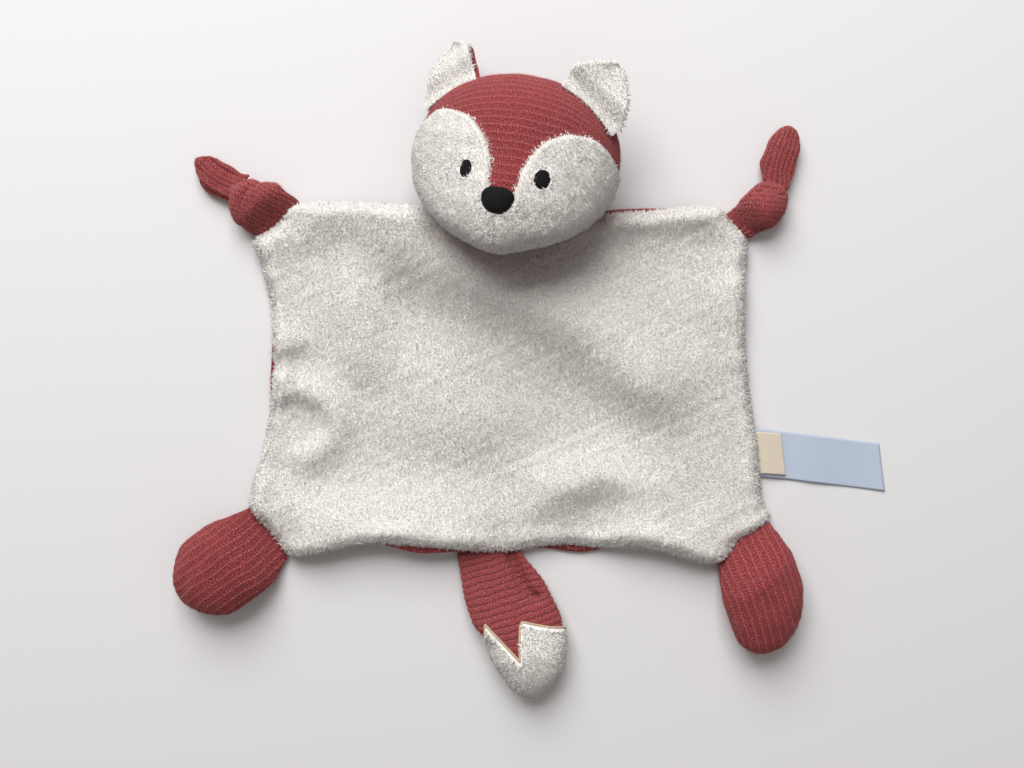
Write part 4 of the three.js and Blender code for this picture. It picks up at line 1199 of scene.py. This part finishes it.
def cheekInside(word, share, angle):
    # how far inside the cheek's cut edge, and on its own side of the middle, each point of the head lies
    co = headSurface(share, angle)
    side = -1 if word == "left" else 1
    edge = np.vstack([[(-9 * side, -95)], [(-9 * side, -29)], curveThrough(head["cheekEdges"][word]),
                      [(120 * side, -20)], [(120 * side, -95)]])
    cut = signedDistance(edge, co[:, 0], co[:, 1])
    below = head["chinLift"] * np.minimum(0, co[:, 1] / head["halfHeight"]) ** 2
    return np.minimum(cut, (co[:, 2] - below) * 0.9), side * co[:, 0], co


def addHead():
    h = head
    mesh, share, angle = headBall("headKnit", 220, 170)
    co = headSurface(share, angle)
    run = ribRun(share, angle) + 0.5 * softNoise(co, 26, 61)
    along = 45 * np.arcsin(np.clip(co[:, 0] / 50, -1, 1))
    co += softNoise(co, 22, 62)[:, None] * 0.35
    setPlaces(mesh, co)
    raiseRibs(mesh, run, headRib)
    setClothMap(mesh, run, along)
    overFloor(mesh, headSeat)
    knit = addPiece(mesh, knitHead, "head", ["head_back", "forehead"])
    plush = np.maximum(cheekInside("left", share, angle)[0], cheekInside("right", share, angle)[0])
    growHairs(knit, 61, "head", ~(plush > -0.8))

    for side, word in ((-1, "left"), (1, "right")):
        mesh, share, angle = headBall(f"cheek{word.capitalize()}", 260, 200)
        cut, middle, co = cheekInside(word, share, angle)
        inside = np.minimum(cut, middle + 1)
        grow = mix(-1.6, h["cheekProud"], smooth(np.minimum(cut, middle + 2.4), -0.9, 1.8))
        grow += 0.5 * smooth(cut, 2, 14)
        grow += 0.25 * softNoise(co, 7, 63)
        grow -= h["muzzleLine"] * bell(co[:, 0], 0.9) * smooth(co[:, 1], -38, -33)
        co = headSurface(share, angle, grow)
        setPlaces(mesh, turned(co, headSeat))
        furred = middle > -0.2
        for place, size in ((h["noseAt"], h["noseSize"]), *h["eyes"].values()):
            away = [(co[:, i] - place[i]) / (size[i] / 2 + h["bareMargin"]) for i in (0, 1)]
            furred &= np.hypot(*away) > 1
        setShare(mesh, "grows", smooth(inside, -0.5, 0) * furred)
        onlyWhere(mesh, inside > -1.4)
        cheek = addPiece(mesh, plushCloth, "head", [f"cheek_{word}"])
        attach(growPile(f"cheekPile{word.capitalize()}", cheek, 7 + side, size=1.1, spacing=0.38), "head")
        eye = stitchPad(f"eye{word.capitalize()}", *h["eyes"][word], 1.9, 1.3)
        addPiece(eye, satinStitch, "head", [f"eye_{word}"])
    nose = stitchPad("nose", h["noseAt"], h["noseSize"], 1.2, 3.0, h["noseTaper"], 2.5)
    addPiece(nose, satinStitch, "head", ["nose"])

    mesh, share, angle = headBall("headFilling", 48, 36)
    co = headSurface(share, angle, -3.6)
    co += softNoise(co, 12, 64)[:, None] * 0.4
    setPlaces(mesh, co)
    overFloor(mesh, headSeat, 1.4)
    addPiece(mesh, fibreFill, "head", ["head_filling"])
    addNeck()


def stitchPad(name, place, size, base, proud, taper=0.0, square=2.1):
    # an embroidered pad that follows the face, thicker in its middle
    mesh = ballMesh(name, 72, 48)
    unit = placesOf(mesh)
    flat = np.hypot(unit[:, 0], unit[:, 1]) + 1e-9
    side, up = np.abs(unit[:, 0]) / flat, np.abs(unit[:, 1]) / flat
    out = (side**square + up**square) ** (-1 / square)
    px = place[0] + unit[:, 0] * out * size[0] / 2 * (1 + taper * unit[:, 1])
    py = place[1] + unit[:, 1] * out * size[1] / 2
    ripple = 0.12 * np.sin(py * 2 * math.pi / 0.7 + 1.5 * softNoise(unit, 1.5, 71))
    rise = np.where(unit[:, 2] > 0, np.sqrt(np.abs(unit[:, 2])) * proud + ripple, unit[:, 2] * 2.0)
    wobble = 1 + 0.025 * softNoise(unit * (1, 1, 0), 0.8, 72)
    px = place[0] + (px - place[0]) * wobble
    py = place[1] + (py - place[1]) * wobble
    z = faceHeight(px, py, base) + rise
    setPlaces(mesh, np.stack([px, py, z], axis=1))
    setClothMap(mesh, px, py)
    moveTo(mesh, headSeat)
    return mesh


def addNeck():
    # a short web of knit, from the top hem in under the nape
    h = head
    y = jointNamed("head_nod")["pos_m"][1] / mm
    mesh = ballMesh("neck", 100, 50)
    run, angle = roundBall(placesOf(mesh))
    cap = tubeCap(run, 0.15, 0.15)
    settled = smooth(run, 0.1, 0.9)
    halfHeight = mix(rootRadius, h["neckHalfHeight"], settled) * cap
    x = h["neckX"] + h["neckWidth"] / 2 * cap * np.cos(angle)
    along = mix(-limbTuck, h["neckReach"], run)
    z = mix(seamHeight, h["neckHalfHeight"], settled) + halfHeight * np.sin(angle)
    setPlaces(mesh, np.stack([x, y + along, np.maximum(z, 0)], axis=1))
    raiseRibs(mesh, x, backRib)
    setClothMap(mesh, x, along)
    neck = addPiece(mesh, knitRibbed, None)
    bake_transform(neck)


addHead()

report("ears")

# plans: share of the height, left and right edge there; knitShows: how far the back shows past each edge
ears = {
    "left": {"side": -1, "rise": 0.71, "forward": 12, "turn": 38, "tiltBack": 30, "height": 21.8, "plan": [
        (-0.25, -15, 13), (0, -14.4, 13.8), (0.33, -6.3, 15.6), (0.55, -1.1, 16.7), (0.7, 2.8, 16.9),
        (0.87, 7.6, 15.4), (1, 10.2, 14)], "knitShows": (-0.8, 1.8)},
    "right": {"side": 1, "rise": 0.7, "forward": 30, "turn": -37, "tiltBack": 12, "height": 20.4, "plan": [
        (-0.25, -15.6, 17.6), (0, -17, 18.4), (0.28, -17.6, 15.8), (0.57, -13.6, 10.8), (0.8, -9.6, 4.9),
        (1, -7.2, 0)], "knitShows": (-0.6, -0.6)},
}
ear = {
    "plush": 4.6, "knit": 1.6, "root": 0.8,     # thickness of each cloth, and at the root
    "cup": 2.6,
    "apart": 0.3,           # between the two cloths
    "rootApart": 0.6,
    "aboveHead": 0.45,
}


def earSeat(one):
    angle = math.radians(one["forward"])
    angle = angle if one["side"] > 0 else math.pi - angle
    rise, step = one["rise"], 0.02

    def onHead(share, turn):
        return headSurface(np.array([share]), np.array([turn]))[0]

    around = onHead(rise, angle + step) - onHead(rise, angle - step)
    up = onHead(rise + step, angle) - onHead(rise - step, angle)
    normal = np.cross(up, around)
    out = ear["root"] + ear["aboveHead"]
    place = onHead(rise, angle) + normal / np.linalg.norm(normal) * out
    return (headSeat @ Matrix.Translation(place) @ Matrix.Rotation(math.radians(one["turn"]), 4, "Z")
            @ Matrix.Rotation(math.radians(-one["tiltBack"]), 4, "X"))


def earMesh(name, one, thickness, side, spread):
    # one cloth of an ear, in front of the middle or behind it, wider by the spread at each edge
    mesh = layeredMesh(name, 44, 40)
    co = placesOf(mesh)
    u, up, face = co[:, 0], (co[:, 1] + 1) / 2, co[:, 2]
    rise = mix(-0.12 - 0.12 * u**2, 1, up)
    line = curveThrough(one["plan"])
    left, right = (np.interp(rise, line[:, 0], line[:, i]) for i in (1, 2))
    tip = np.sqrt(1 - np.clip((up - 0.8) / 0.2, 0, 1) ** 2 * 0.98)
    added = np.where(u < 0, spread[0], spread[1]) * smooth(np.abs(u), 0, 1)
    x = (left + right) / 2 + u * ((right - left) / 2 * tip + added * tip)
    settled = smooth(rise, 0, 0.4)
    rounded = np.sqrt(np.maximum(0, 1 - u**4)) * (1 - 0.9 * np.clip((up - 0.9) / 0.1, 0, 1) ** 2)
    full = mix(ear["root"], thickness, settled * (1 - 0.4 * rise)) * rounded
    middle = mix(side * ear["rootApart"], side * (thickness + ear["apart"]) / 2, settled)
    z = middle + ear["cup"] * settled * u**2 + face * full / 2
    setPlaces(mesh, np.stack([x, rise * one["height"], z], axis=1))
    return mesh, x, rise * one["height"], face


def addEars():
    for word, one in ears.items():
        seat = earSeat(one)
        title = word.capitalize()
        mesh, across, along, face = earMesh(f"ear{title}Back", one, ear["knit"], -1, one["knitShows"])
        raiseRibs(mesh, across, limbRib, np.where(face < 0, 1, 0))
        setClothMap(mesh, across, along)
        moveTo(mesh, seat)
        back = addPiece(mesh, knitRibbed, None, [f"ear_{word}_back"])
        mesh, _, _, face = earMesh(f"ear{title}Front", one, ear["plush"], 1, (0, 0))
        moveTo(mesh, seat)
        setShare(mesh, "grows", np.where(face > 0, 1, 0.4))
        front = addPiece(mesh, plushCloth, None, [f"ear_{word}_front"])
        tufts = growPile(f"earPile{title}", front, 20 + len(word), size=1.1, spacing=0.36)
        for piece in (back, front, tufts):
            bendAt(piece)


addEars()

report("labels")

labels = {
    "care": {"length": 61, "width": 24, "thickness": 0.35, "turn": -13.5, "wave": 0.7, "under": 0.1},
    "small": {"length": 10.5, "width": 21, "thickness": 0.5, "turn": -11, "wave": 0.3, "under": 0},
    "smallRaised": 0.75,    # onto the care label
    "tuck": 4,
}


def labelMesh(name, label, seat):
    mesh = layeredMesh(name, 24, 60)
    co = placesOf(mesh)
    x, face = co[:, 0] * label["width"] / 2, co[:, 2]
    y = mix(-labels["tuck"], label["length"], (co[:, 1] + 1) / 2)
    low = mix(seamHeight - 0.2, label["under"], smooth(y, 0, 20))
    wave = label["wave"] * (1 + np.sin(y / 11 + x / 30)) * smooth(y, 12, 30)
    z = low + wave + (face + 1) / 2 * label["thickness"]
    aside = math.tan(math.radians(label["turn"])) * np.maximum(y, 0)
    setPlaces(mesh, np.stack([x - aside, y, z], axis=1))
    setClothMap(mesh, x, y)
    moveTo(mesh, seat)
    return mesh


def addLabels():
    care, small = labels["care"], labels["small"]
    seat = hingeSeat("care_label_fold")
    mesh = labelMesh("careLabel", care, seat)
    ribbon = addPiece(mesh, satinRibbon, None, ["care_label"])
    bendAt(ribbon)
    seat = hingeSeat("small_label_fold", -1)
    mesh = labelMesh("smallLabel", small, seat)
    setPlaces(mesh, placesOf(mesh) + (0, 0, labels["smallRaised"]))
    tape = addPiece(mesh, wovenTape, None, ["small_label"])
    bendAt(tape)


addLabels()
for helper in (plushTuft, knitHair):
    bpy.data.objects.remove(helper)

report("stage")

stage = {
    "camera": 569, "lens": 40,
    "floor": 3.0, "floorColour": (0.72, 0.71, 0.72, 1),
    "world": (1, 0.96, 0.92, 1), "worldStrength": 0.24,
    "lights": {     # place, size, power, colour
        "keyLight": ((-0.3, 1.13, 1.17), 1.3, 38, (1, 0.995, 0.99)),
        "fillLight": ((0.5, -0.9, 1.8), 1.6, 2.0, (1, 0.97, 0.93)),
    },
}


def addStage():
    bm = bmesh.new()
    bmesh.ops.create_grid(bm, x_segments=1, y_segments=1, size=stage["floor"])
    floor = bpy.data.objects.new("floor", meshFrom("floor", bm))
    floor.location.z = -0.0002
    material, tree, shader = newMaterial("paleFloor", 0.9)
    shader.inputs["Base Color"].default_value = stage["floorColour"]
    floor.data.materials.append(material)
    bpy.context.scene.collection.objects.link(floor)

    for name, (place, size, power, colour) in stage["lights"].items():
        lamp = bpy.data.lights.new(name, "AREA")
        lamp.size = size
        lamp.energy = power
        lamp.color = colour
        light = bpy.data.objects.new(name, lamp)
        light.location = place
        light.rotation_euler = Vector(place).to_track_quat("Z", "Y").to_euler()
        bpy.context.scene.collection.objects.link(light)
    world = bpy.data.worlds.new("studio")
    world.use_nodes = True
    background = world.node_tree.nodes["Background"].inputs
    background["Color"].default_value = stage["world"]
    background["Strength"].default_value = stage["worldStrength"]
    bpy.context.scene.world = world

    camera = bpy.data.objects.new("camera", bpy.data.cameras.new("camera"))
    camera.data.lens = stage["lens"]
    camera.data.clip_start = 0.01
    camera.location = (0, 0, stage["camera"] * mm)
    bpy.context.scene.collection.objects.link(camera)
    bpy.context.scene.camera = camera
    bpy.context.scene.view_settings.view_transform = "Standard"


addStage()
